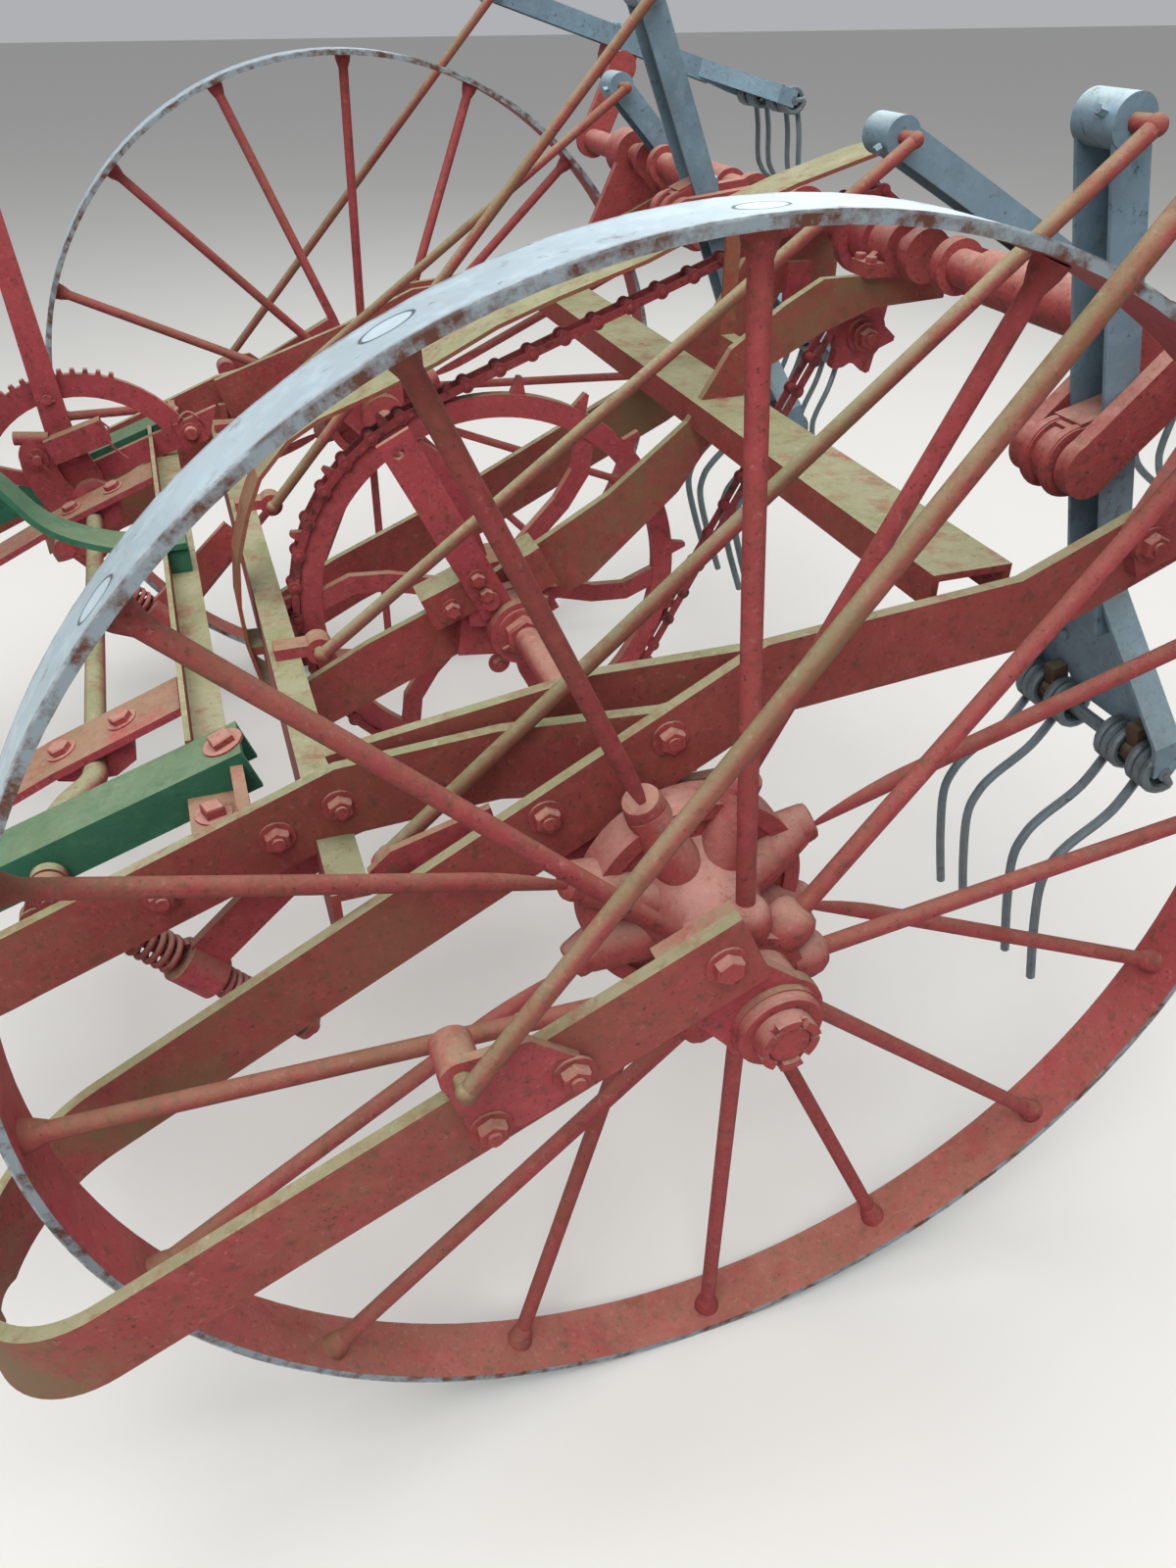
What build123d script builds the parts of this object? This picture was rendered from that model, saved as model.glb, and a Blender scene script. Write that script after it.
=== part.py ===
from build123d import *
import os
from math import acos, atan2, cos, degrees, hypot, pi, radians, sin

# Hay tedder: two spoked wheels, a flat bar frame, a crankshaft with six forks, and a pair of shafts.
# Millimetres. X forward, Y to the machine's left, Z up, ground at Z 0. Shapes are drawn with the axle
# at X 0, and save() moves them so that the frame's origin is the middle of the bounding box's base.
AXLE_X = -648.9

# Wheels and axle. Heights below are given with the axle at AXLE_Z, and save() lifts all by WHEEL_R - AXLE_Z.
WHEEL_R = 600.0
AXLE_Z = 600.0
RIM_T = 9.0
RIM_W = 63.0
WHEEL_Y = 857.5
SPOKES = 16
SPOKE_R = 8.3
AXLE_R = 17.5
HUB_Y0 = WHEEL_Y - 97.5
HUB_Y1 = WHEEL_Y + 85.0
HUB_CORE_R = 38.0
DRUM_R = 108.0
DRUM_W = 40.0
RUN = 0.05
SIDE_GAP = 6.5

# Flat bar frame: the loops' two legs stand this far from the wheel's plane
BAR_T = 12.0
HALF = BAR_T / 2
BAR_H = 75.0
LEG_OFF = 110.0
OUT_Y = WHEEL_Y + LEG_OFF
IN_Y = WHEEL_Y - LEG_OFF
LOOP_X = 557.5
BEAM_TOP = 648.0
BEAM_X0 = 291.0
BEAM_X1 = 326.0
SECTION_T = 8.0
FRONT_Y = 650.0
ANGLE_X0 = 388.0
ANGLE_X1 = 428.0
ANGLE_LOW = 649.0
ANGLE_TOP = 690.0
ANGLE_T = 6.0
ARM_Y = (170.0, -110.0)

# Crankshaft: axis, throw, fork planes and crank angles
CRANK_X = -533.0
CRANK_Z = 1025.0
THROW = 141.7
JOURNAL_R = 21.0
PIN_R = 18.0
WEB_T = 18.0
PIN_HALF = 26.0
FORKS = (
    # name, plane y, crank angle, side of the guide rod
    ("fork_1", 1045.0, 76.0, -1),
    ("fork_2", 654.0, 316.0, 1),
    ("fork_3", 258.0, 197.0, 1),
    ("fork_4", -225.0, 354.0, 1),
    ("fork_5", -654.0, 235.0, 1),
    ("fork_6", -1045.0, 116.0, 1),
)
ROD_OFF = 50.0
ROD_R = 7.6
ROD_LEN = 873.9
ROD_PIVOT = (268.0, 652.0)
PIN_ALONG = 284.2
PIN_OFF = 46.6
HEAD_TO_PIN = hypot(PIN_ALONG, PIN_OFF)
CHANNEL_HALF = 25.0
CHANNEL_T = 4.0
CHANNEL_BACK = -18.0
TINE_ALONG = 640.0
TINE_ROD_R = 8.0
COIL_R = 20.0
TINE_Y = (-98.0, -46.0, 46.0, 98.0)

# Chain drive
CHAIN_Y = 87.5
CHAIN_W = 28.0
WHEEL_PITCH_R = 276.0
SMALL_PITCH_R = 55.0
IDLER_PITCH_R = 46.0
IDLER = (-537.0, 900.0)
WHEEL_TEETH = 19
FIRST_TOOTH = radians(99.4)
BARREL_R = 7.0
ROOT_DROP = BARREL_R + 0.1
LINK_BAR_H = 9.6
LINK_BAR_T = 4.4
# Idler teeth that the chain leaves free, in degrees
IDLER_TEETH = (130, 190, 250, 310)

# Lift tube and lever
TUBE = (530.0, 606.0)
TUBE_R = 12.0
STRAP_Y = (365.0, -365.0)
STRAP_W = 72.0
STRAP_T = 9.0
LEVER_Y = -442.0
QUAD_R = 192.0
QUAD_W = 35.0
ARM_PIN = (571.0, 609.0)

# Shafts
SHAFT_Y = 540.0
SHAFT_W = 60.0
SHAFT_H = 45.0
SHAFT_T = 6.0
SHAFT_END = 2460.0

# Far enough to cut through everything
FAR = 4 * WHEEL_R

os.makedirs("parts", exist_ok=True)


def save(shape, node):
    """Moves a shape from the axle's frame to the part's frame and writes it."""
    export_step(Pos(AXLE_X, 0, WHEEL_R - AXLE_Z) * shape, f"parts/{node}.step")


def box(x0, x1, y0, y1, z0, z1):
    middle = Pos((x0 + x1) / 2, (y0 + y1) / 2, (z0 + z1) / 2)
    return middle * Box(abs(x1 - x0), abs(y1 - y0), abs(z1 - z0))


def prism(points, y0, y1):
    """A polygon of x, z points, extruded from y0 to y1."""
    low, high = min(y0, y1), max(y0, y1)
    face = Plane.XZ * make_face(Polyline(*points, close=True))
    return Pos(0, high, 0) * extrude(face, high - low)


def slab(points, z0, z1):
    """A polygon of x, y points, extruded from z0 to z1."""
    return Pos(0, 0, z0) * extrude(make_face(Polyline(*points, close=True)), z1 - z0)


def disc(x, z, radius, y0, y1):
    """A cylinder along Y."""
    return Pos(x, (y0 + y1) / 2, z) * Rot(90, 0, 0) * Cylinder(radius, abs(y1 - y0))


def bar_between(p, q, radius):
    """A round bar from point p to point q."""
    length = (Vector(*q) - Vector(*p)).length
    place = Plane(origin=p, z_dir=Vector(*q) - Vector(*p)).location
    return place * Pos(0, 0, length / 2) * Cylinder(radius, length)


def offset_line(points, distance):
    """The polyline moved sideways by a distance, with mitred corners."""
    out = []
    for i, (x, z) in enumerate(points):
        normals = []
        for a, b in ((i - 1, i), (i, i + 1)):
            if a >= 0 and b < len(points):
                dx, dz = points[b][0] - points[a][0], points[b][1] - points[a][1]
                length = hypot(dx, dz)
                normals.append((-dz / length, dx / length))
        nx = sum(n[0] for n in normals)
        nz = sum(n[1] for n in normals)
        size = hypot(nx, nz)
        nx, nz = nx / size, nz / size
        scale = distance / (nx * normals[0][0] + nz * normals[0][1])
        out.append((x + nx * scale, z + nz * scale))
    return out


def band(points, left, right):
    """The polygon between the polyline's two offsets."""
    return offset_line(points, left) + offset_line(points, right)[::-1]


def mirror_y(shape):
    return mirror(shape, about=Plane.XZ)


def ring(x, z, outer, inner, y0, y1):
    return disc(x, z, outer, y0, y1) - disc(x, z, inner, y0 - 1, y1 + 1)


# Wheels: band rim, round spokes that go in turn to a drum and to an outer flange, and a cast hub
def wheel(side, phase):
    y = side * WHEEL_Y
    tip = WHEEL_R - RIM_T
    rim = ring(0, AXLE_Z, WHEEL_R, tip, y - RIM_W / 2, y + RIM_W / 2)
    drum0 = side * HUB_Y0
    drum1 = side * (HUB_Y0 + DRUM_W)
    end = side * HUB_Y1
    hub = disc(0, AXLE_Z, HUB_CORE_R, drum0, end)
    hub += ring(0, AXLE_Z, DRUM_R, DRUM_R - 16, min(drum0, drum1), max(drum0, drum1))
    hub += disc(0, AXLE_Z, DRUM_R - 8, drum1 - side * 16, drum1 - side * 4)
    hub += disc(0, AXLE_Z, 50, end - side * 58, end - side * 26)
    spokes = Part()
    for k in range(SPOKES):
        angle = radians(phase + k * 360 / SPOKES)
        c, s = cos(angle), sin(angle)
        inner = k % 2 == 1
        root = DRUM_R - 10 if inner else 42.0
        root_y = drum1 - side * 18 if inner else end - side * 42
        tip_y = y - side * 6 if inner else y + side * 6
        p = (root * c, root_y, AXLE_Z + root * s)
        boss_end = (p[0] + 34 * c, root_y + (tip_y - root_y) * 34 / (tip - root), p[2] + 34 * s)
        hub += bar_between(p, boss_end, 2 * SPOKE_R)
        spokes += bar_between(p, ((tip + 4) * c, tip_y, AXLE_Z + (tip + 4) * s), SPOKE_R)
    spokes = spokes & disc(0, AXLE_Z, tip, y - RIM_W, y + RIM_W)
    hub -= spokes
    hub -= disc(0, AXLE_Z, AXLE_R + RUN, drum0 - side * 5, end + side * 5)
    return rim, spokes, hub


for side, name, phase in ((1, "left", -2.0), (-1, "right", 1.5)):
    rim, spokes, hub = wheel(side, phase)
    save(rim, f"rim_{name}")
    save(spokes, f"spokes_{name}")
    save(hub, f"hub_{name}")

# Axle with a washer and a nut at each end
PLATE_Y0 = OUT_Y - HALF - BAR_T
BOSS_END = PLATE_Y0 + 18.5
AXLE_END = BOSS_END + 22
axle = disc(0, AXLE_Z, AXLE_R, -AXLE_END, AXLE_END)
for side in (1, -1):
    axle += disc(0, AXLE_Z, 30, side * BOSS_END, side * (BOSS_END + 7))
    nut = Pos(0, side * (BOSS_END + 13), AXLE_Z) * Rot(90, 0, 0) * extrude(RegularPolygon(27, 6), 6, both=True)
    axle += nut
save(axle, "axle")

# Wheel loops: a flat bar on edge that runs outside the wheel, round its front and back inside it
LOOP_TOP_OUT = [(46, 735), (690, 424.6)]
LOOP_TOP_IN = [(690, 423.5), (-75, 832), (-333, 853), (-620, 976)]


def slab_ring(x, y, outer, inner):
    return Pos(x, y, AXLE_Z) * (Cylinder(outer, FAR) - Cylinder(inner, FAR + 10))


def loop(side):
    """The left loop, drawn as two side views that are cut to the bar's plan; the right one mirrors it."""
    drop = 83.2
    (x0, z0), (x1, z1) = LOOP_TOP_OUT
    bend = slab_ring(LOOP_X, WHEEL_Y, LEG_OFF + HALF, LEG_OFF - HALF)
    outer = prism([(x0, z0), (x1, z1), (x1, z1 - drop), (x0 - 32, z0 - 68)], WHEEL_Y, OUT_Y + 20)
    outer_plan = box(0, LOOP_X, OUT_Y - HALF, OUT_Y + HALF, 0, FAR)
    outer_plan += bend & box(LOOP_X, FAR, WHEEL_Y, FAR, 0, FAR)
    inner = prism(band(LOOP_TOP_IN, 0, BAR_H), IN_Y - 20, WHEEL_Y)
    inner_plan = box(CRANK_X - 107, LOOP_X, IN_Y - HALF, IN_Y + HALF, 0, FAR)
    inner_plan += bend & box(LOOP_X, FAR, 0, WHEEL_Y, 0, FAR)
    shape = (outer & outer_plan) + (inner & inner_plan)
    return shape if side > 0 else mirror_y(shape)


loops = {}
for side, name in ((1, "left"), (-1, "right")):
    loops[side] = loop(side)
    save(loops[side], f"loop_{name}")


def plan_bar(side_points, plan_points, height, foot):
    """A flat bar on edge that bends both ways: side view and plan crossed, with a foot down to the beam."""
    upright = prism(band(side_points, 0, -height), 0, WHEEL_Y)
    flat = slab(band(plan_points, HALF, -HALF), 0, FAR)
    x0, x1, y0, y1, z1 = foot
    return (upright & flat) + box(x0, x1, y0, y1, BEAM_TOP, z1)


# Side bars, behind the loops' rear stretch, and front bars, which reach forward to the shafts
BEHIND_Y = IN_Y - BAR_T
SIDE_Y = FRONT_Y - 24
side_bar = plan_bar(
    [(-400, 845), (-80, 824), (BEAM_X0 + 14, 722)],
    [(-400, BEHIND_Y), (-80, BEHIND_Y), (60, BEHIND_Y - 63.5), (BEAM_X0 + 14, SIDE_Y)],
    70,
    (BEAM_X0 + 2, BEAM_X0 + 14, SIDE_Y - HALF, SIDE_Y + HALF, 680),
)
front_bar = plan_bar(
    [(-20, 779), (20, 776), (150, 745), (300, 722), (620, 605), (800, 536)],
    [(-20, BEHIND_Y), (20, BEHIND_Y), (150, BEHIND_Y - 63.5), (300, FRONT_Y), (620, FRONT_Y), (800, FRONT_Y - 10)],
    BAR_H,
    (BEAM_X0 + 2, BEAM_X1, FRONT_Y - HALF, FRONT_Y + HALF, 680),
)
side_bars = side_bar + mirror_y(side_bar)
front_bars = front_bar + mirror_y(front_bar)

# Cross beams
beam_y = IN_Y - HALF
front_beam = box(BEAM_X0, BEAM_X1, -beam_y, beam_y, BEAM_TOP - SECTION_T, BEAM_TOP)
front_beam += box(BEAM_X1 - SECTION_T, BEAM_X1, -beam_y, beam_y, BEAM_TOP - 103, BEAM_TOP)
save(front_beam, "front_beam")
save(side_bars - front_beam, "side_bars")
front_bars = Part() + (front_bars - front_beam).solids().sort_by(SortBy.VOLUME)[-2:]
save(front_bars, "front_bars")

# Centre arms: bars on edge from the front beam up to the crank's middle bearings
CLAMP = disc(0, AXLE_Z, AXLE_R, -FAR, FAR)
near_arm = [
    (318, 528), (195, 588), (66, 638), (-50, 700), (-140, 750), (-247, 833), (-303, 920), (-374, 968), (-425, 995),
    (-605, 995), (-605, 960), (-500, 955), (-430, 930), (-339, 885), (-238, 741), (-112, 632), (114, 536), (318, 452),
]
far_arm = band(
    [(318, 528), (195, 588), (66, 640), (-140, 738), (-300, 812), (-385, 862), (-470, 995), (-605, 995)], 0, 80
)
centre_arms = Part()
for y, outline in zip(ARM_Y, (near_arm, far_arm)):
    centre_arms += prism(outline, y - HALF, y + HALF) - CLAMP
save(centre_arms, "centre_arms")

rear_y = IN_Y - HALF - BAR_T
rear_beam = box(-337, -252, -rear_y, rear_y, 825, 860)
rear_beam -= box(-330, -259, -FAR, FAR, 820, 853)
rear_beam -= centre_arms
rear_beam -= side_bars
save(rear_beam, "rear_beam")

# Angle crossbar with its leg upright, strap bars over the lift tube, and the tie at the front
INNER_Y = SHAFT_Y - SHAFT_W / 2
angle_bar = box(ANGLE_X0, ANGLE_X1, -INNER_Y, INNER_Y, ANGLE_LOW, ANGLE_LOW + ANGLE_T)
angle_bar += box(ANGLE_X1 - ANGLE_T, ANGLE_X1, -INNER_Y, INNER_Y, ANGLE_LOW, ANGLE_TOP)
save(angle_bar, "angle_crossbar")

# The strap's underside rests on the tube and runs on down to the tie
STRAP_SLOPE = 0.379
strap_at_tube = TUBE[1] + TUBE_R * hypot(1, STRAP_SLOPE)


def strap_z(x):
    return strap_at_tube - STRAP_SLOPE * (x - TUBE[0])


TIE_TOP = 512.0
strap_line = [(x, strap_z(x)) for x in (ANGLE_X1, TUBE[0] + 40)] + [(770, TIE_TOP), (800, TIE_TOP)]
straps = Part()
for y in STRAP_Y:
    half = STRAP_W / 2
    straps += prism(band(strap_line, STRAP_T, 0), y - half, y + half) & box(ANGLE_X1, FAR, -FAR, FAR, 0, FAR)
    cap = [(TUBE[0] - 42, TUBE[1] + 30), (TUBE[0] - 42, TUBE[1] - 4), (TUBE[0] - 18, TUBE[1] - 20)]
    cap += [(TUBE[0] + 18, TUBE[1] - 20), (TUBE[0] + 42, TUBE[1] - 14), (TUBE[0] + 42, TUBE[1] + 10)]
    straps += prism(cap, y - 20, y + 20) - prism(band(strap_line, 60, 0), y - half, y + half)
    straps -= disc(TUBE[0], TUBE[1], TUBE_R + RUN, y - 60, y + 60)
save(straps, "strap_bars")

front_tie = box(774, 800, -FRONT_Y, FRONT_Y, 470, TIE_TOP) - front_bars
save(front_tie, "front_tie")

# Shafts: channels open below, that slope down to the ground
GROUND = AXLE_Z - WHEEL_R
shaft_line = [(370, 682), (SHAFT_END - 200, GROUND + 48.9), (SHAFT_END - 130, GROUND + 29)]
shaft_line += [(SHAFT_END - 60, GROUND + 22.6), (SHAFT_END, GROUND + 27)]
shaft = prism(band(shaft_line, SHAFT_H / 2, -SHAFT_H / 2), INNER_Y, SHAFT_Y + SHAFT_W / 2)
hollow_line = band([(360, 685)] + shaft_line[1:4], SHAFT_H / 2 - SHAFT_T, -SHAFT_H)
shaft -= prism(hollow_line, INNER_Y + SHAFT_T, SHAFT_Y + SHAFT_W / 2 - SHAFT_T)
shaft = shaft & box(0, SHAFT_END, 0, FAR, -FAR, FAR)
shaft -= disc(SHAFT_END - 35, GROUND + 26, 7, SHAFT_Y - SHAFT_W, SHAFT_Y + SHAFT_W)
shafts = shaft + mirror_y(shaft)
save(shafts, "shafts")

# Shoes that carry the shafts' rear ends on the front bars
shoe_y0, shoe_y1 = SHAFT_Y + SHAFT_W / 2, FRONT_Y - HALF
shoe = box(378, 434, shoe_y0, shoe_y1, 640, 662) + box(378, 390, shoe_y0, shoe_y1, 640, 690)
save(Part() + [shoe, mirror_y(shoe)], "shaft_shoes")

# Axle plates: bolted to the loops, with the axle in their bosses
TONGUE_R = 45.0
outer_plate = prism([(14, 668), (46, 735), (110, 704), (88, 640), (42, 584), (-44, 592), (-38, 625)], PLATE_Y0, PLATE_Y0 + BAR_T)
outer_plate += disc(0, AXLE_Z, TONGUE_R, PLATE_Y0, PLATE_Y0 + BAR_T)
outer_plate += disc(0, AXLE_Z, 40, PLATE_Y0, BOSS_END)
inner_plate = prism([(118, 640), (112, 672), (20, 694), (-45, 694), (-45, 565), (45, 560)], BEHIND_Y - HALF, BEHIND_Y + HALF)
inner_plate += disc(0, AXLE_Z, 42, BEHIND_Y - 35, HUB_Y0 - SIDE_GAP)
inner_plate -= loops[1]
plates = [outer_plate - CLAMP, inner_plate - CLAMP]
save(Part() + plates + [mirror_y(p) for p in plates], "axle_plates")

# Centre bearing with its clamp block, and the clutch lever on it
bearing = disc(0, AXLE_Z, 44, 176, 236)
bearing += prism([(-60, 640), (70, 640), (80, 560), (-40, 545)], 176, 196)
bearing += prism([(5, 640), (66, 655), (66, 610), (5, 600)], 176, 214)
save(bearing - CLAMP, "centre_bearing")
clutch = prism(band([(28, 628), (145, 870)], 22, -22), 214, 222)
clutch += disc(40, 648, 12, 222, 230)
clutch -= disc(140, 852, 8, 200, 240)
clutch -= disc(0, AXLE_Z, 44, 200, 240)
save(clutch, "clutch_lever")


# Chain wheel, sprockets and the chain's loop
def teeth(x, z, root, tip, half, angles, y0, y1):
    """Wedge teeth on a disc, at the given angles in degrees."""
    shape = Part()
    for angle in angles:
        c, s = cos(radians(angle)), sin(radians(angle))
        low, high = root - 3, tip
        points = [
            (x + low * c - half * s, z + low * s + half * c),
            (x + high * c - 3 * s, z + high * s + 3 * c),
            (x + high * c + 3 * s, z + high * s - 3 * c),
            (x + low * c + half * s, z + low * s - half * c),
        ]
        shape += prism(points, y0, y1)
    return shape


def chain_path():
    """Points of the chain's pitch line, round the chain wheel, the crank's sprocket and the idler."""
    big = (0.0, AXLE_Z, WHEEL_PITCH_R)
    small = (CRANK_X, CRANK_Z, SMALL_PITCH_R)
    idle = (IDLER[0], IDLER[1], IDLER_PITCH_R)

    def direction(a, b):
        return atan2(b[1] - a[1], b[0] - a[0]), hypot(b[0] - a[0], b[1] - a[1])

    line, reach = direction(big, small)
    top = line - acos((big[2] - small[2]) / reach)
    line2, reach2 = direction(small, idle)
    cross = acos((small[2] + idle[2]) / reach2)
    line3, reach3 = direction(idle, big)
    lower = acos((big[2] + idle[2]) / reach3)
    return big, small, idle, top, line2 - cross, line3 + lower


big, small, idle, top_angle, small_end, idle_end = chain_path()


def on_circle(circle, angle, radius_add):
    """A point on a pitch circle, moved outwards by radius_add."""
    x, z, r = circle
    return x + (r + radius_add) * cos(angle), z + (r + radius_add) * sin(angle)


def chain_joints():
    """The chain's joints: set between the wheel's teeth where it wraps the wheel, and evenly spaced on the rest."""
    turn = 2 * pi
    leave = small_end + turn * (small_end < top_angle)
    meet = small_end + pi
    idle_leave = idle_end
    while idle_leave > meet:
        idle_leave -= turn
    while meet - idle_leave > turn:
        idle_leave += turn
    start = (idle_end + pi) % turn
    stop = start + (top_angle - start) % turn
    step = pi / WHEEL_TEETH
    fixed = []
    angle = FIRST_TOOTH + step / 2
    while angle <= stop:
        if angle >= start:
            fixed.append(angle)
        angle += step

    # The free run, as short pieces from the last fixed joint to the first one
    line = []
    for circle, a, b in ((big, fixed[-1], stop), (small, top_angle, leave), (idle, meet, idle_leave), (big, start, fixed[0])):
        line += [on_circle(circle, a + (b - a) * i / 40, 0) for i in range(41)]
    reached = [0.0]
    for a, b in zip(line, line[1:]):
        reached.append(reached[-1] + hypot(b[0] - a[0], b[1] - a[1]))
    count = round(reached[-1] / (WHEEL_PITCH_R * step))
    joints = [on_circle(big, a, 0) for a in fixed]
    i = 0
    for k in range(1, count):
        want = reached[-1] * k / count
        while reached[i + 1] < want:
            i += 1
        t = (want - reached[i]) / (reached[i + 1] - reached[i])
        joints.append(tuple(line[i][c] + (line[i + 1][c] - line[i][c]) * t for c in (0, 1)))
    return joints


# Malleable chain: each link has two side bars, and a barrel at each joint
joints = chain_joints()
links = []
for p, q in zip(joints, joints[1:] + joints[:1]):
    links.append(disc(p[0], p[1], BARREL_R, CHAIN_Y - CHAIN_W / 2, CHAIN_Y + CHAIN_W / 2))
    outline = band([p, q], LINK_BAR_H / 2, -LINK_BAR_H / 2)
    for side in (1, -1):
        outer = CHAIN_Y + side * (CHAIN_W / 2 - 0.5)
        links.append(prism(outline, outer, outer - side * LINK_BAR_T))
save(Part() + links, "drive_chain")

wheel_y0, wheel_y1 = CHAIN_Y - 8, CHAIN_Y + 8
SPOKE_CURVE = ((40, 0), (95, 6), (150, 8), (200, 6), (WHEEL_PITCH_R - 32, 0))
all_teeth = [degrees(FIRST_TOOTH) + 360 / WHEEL_TEETH * k for k in range(WHEEL_TEETH)]
chain_wheel = ring(0, AXLE_Z, WHEEL_PITCH_R - ROOT_DROP, WHEEL_PITCH_R - 36, wheel_y0, wheel_y1)
for k in range(6):
    points = []
    for r, turn in SPOKE_CURVE:
        a = radians(4 + 60 * k + turn)
        points.append((r * cos(a), AXLE_Z + r * sin(a)))
    chain_wheel += prism(band(points, 13, -13), wheel_y0 + 2, wheel_y1 - 2)
chain_wheel += teeth(0, AXLE_Z, WHEEL_PITCH_R - ROOT_DROP, WHEEL_PITCH_R + 15, 11, all_teeth, wheel_y0 + 3, wheel_y1 - 3)
chain_wheel += disc(0, AXLE_Z, 52, 55, 120)
save(chain_wheel - CLAMP, "chain_wheel")

crank_sprocket = disc(CRANK_X, CRANK_Z, SMALL_PITCH_R - ROOT_DROP, wheel_y0, wheel_y1) + disc(CRANK_X, CRANK_Z, 34, 62, 130)
crank_sprocket -= disc(CRANK_X, CRANK_Z, JOURNAL_R, 40, 140)
save(crank_sprocket, "crank_sprocket")
idler = disc(IDLER[0], IDLER[1], IDLER_PITCH_R - ROOT_DROP, wheel_y0, wheel_y1)
idler += disc(IDLER[0], IDLER[1], 22, wheel_y0 - 4, wheel_y1 + 6)
idler += teeth(IDLER[0], IDLER[1], IDLER_PITCH_R - ROOT_DROP, 56, 15, IDLER_TEETH, wheel_y0, wheel_y1)
plate_y = ARM_Y[1] + HALF
idler += disc(IDLER[0], IDLER[1], 14, plate_y, wheel_y1 + 16)
idler += box(IDLER[0] - 20, IDLER[0] + 20, plate_y, plate_y + BAR_T, IDLER[1] - 20, IDLER[1] + 60)
save(idler, "idler_sprocket")

# Chain guard: a curved strip over the chain
guard_line = [
    (-560, 1132), (-510, 1125), (-402, 1095), (-323, 1067), (-206, 1020), (-90, 985), (-12, 958), (65, 922),
    (141, 893), (215, 868), (255, 846), (295, 805), (317, 760), (338, 700), (346, 640), (345, 585), (336, 530),
    (318, 512),
]
guard = prism(band(guard_line, 2.5, -2.5), 55, 125)
guard += box(BEAM_X1, 344, 62, 118, 566, 578)
guard += box(-330, -310, 120, 125, 905, 1062)
guard += box(-330, -310, 120, ARM_Y[0] - HALF, 905, 925)
save(guard, "chain_guard")

# Crankshaft
def web(y, angle):
    """One crank web at height y along the shaft."""
    pin_x = CRANK_X + THROW * cos(angle)
    pin_z = CRANK_Z + THROW * sin(angle)
    y0, y1 = y - WEB_T / 2, y + WEB_T / 2
    shape = disc(CRANK_X, CRANK_Z, 32, y0, y1) + disc(pin_x, pin_z, 28, y0, y1)
    return shape + prism(band([(CRANK_X, CRANK_Z), (pin_x, pin_z)], 27, -27), y0, y1)


web_off = PIN_HALF + WEB_T / 2
crank = None
stations = sorted(FORKS, key=lambda row: -row[1])
for i, (name, y, degrees_at, rod_side) in enumerate(stations):
    angle = radians(degrees_at)
    pin_x = CRANK_X + THROW * cos(angle)
    pin_z = CRANK_Z + THROW * sin(angle)
    first, last = i == 0, i == len(stations) - 1
    outer_end = y + PIN_HALF + (10 if first else 0)
    inner_end = y - PIN_HALF - (10 if last else 0)
    piece = disc(pin_x, pin_z, PIN_R, inner_end, outer_end)
    if first:
        piece += disc(pin_x, pin_z, 29, outer_end - 9, outer_end)
    else:
        piece += web(y + web_off, angle)
    if last:
        piece += disc(pin_x, pin_z, 29, inner_end, inner_end + 9)
    else:
        piece += web(y - web_off, angle)
        next_y = stations[i + 1][1]
        piece += disc(CRANK_X, CRANK_Z, JOURNAL_R, next_y + web_off, y - web_off)
    crank = piece if crank is None else crank + piece
for y in (460, -445):
    crank += disc(CRANK_X, CRANK_Z, 29, y - 105, y + 105)
save(crank, "crankshaft")

# Crank bearings: two bolted to the side bars' rear ends, two on the centre arms
side_bearing = disc(CRANK_X, CRANK_Z, 42, IN_Y + HALF, 815)
side_bearing += prism([(-500, 1030), (-566, 1030), (-610, 960), (-600, 905), (-450, 845), (-430, 890)], IN_Y + HALF, 769)
side_bearing -= disc(CRANK_X, CRANK_Z, JOURNAL_R, 740, 830)
bearings = [side_bearing, mirror_y(side_bearing)]
for y in ARM_Y:
    foot_x0, foot_x1 = CRANK_X - 57, CRANK_X + 57
    piece = box(foot_x0, foot_x1, y - 22, y + 22, CRANK_Z - 30, CRANK_Z - 13)
    piece += disc(CRANK_X, CRANK_Z, 36, y - 22, y + 22) & box(foot_x0, foot_x1, -FAR, FAR, CRANK_Z - 30, FAR)
    piece += prism([(foot_x0 + 8, CRANK_Z - 13), (foot_x1 - 8, CRANK_Z - 13), (CRANK_X, CRANK_Z + 25)], y - 6, y + 6)
    bearings.append(piece - disc(CRANK_X, CRANK_Z, JOURNAL_R, y - 30, y + 30))
save(Part() + bearings, "crank_bearings")


# Forks: each is drawn along +X from its head, with +Z towards its front, and set by the crank's position
def fork_shape():
    """Channel lever open to its front, its head, and the flared plate that holds the tines."""
    wall = CHANNEL_HALF - CHANNEL_T
    shape = box(0, 500, -CHANNEL_HALF, CHANNEL_HALF, CHANNEL_BACK, CHANNEL_BACK + CHANNEL_T)
    for s in (1, -1):
        shape += box(0, 500, s * wall, s * CHANNEL_HALF, CHANNEL_BACK, 19)
    shape += disc(0, 0, 22, -PIN_HALF, PIN_HALF)
    plate = [(455, -25), (455, 25), (600, 118), (640, 118), (612, 86), (612, 60), (630, 48), (630, 30)]
    shape += slab(plate + [(x, -y) for x, y in plate[:1:-1]], CHANNEL_BACK, CHANNEL_BACK + 5)
    for s in (1, -1):
        flange = [(455, 25), (600, 118), (640, 118), (640, 112), (600, 112), (455, 19)]
        shape += slab([(x, s * y) for x, y in flange], CHANNEL_BACK, 14)
    shape -= disc(0, 0, ROD_R, -30, 30)
    return shape - disc(TINE_ALONG, 0, TINE_ROD_R, -130, 130)


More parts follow.
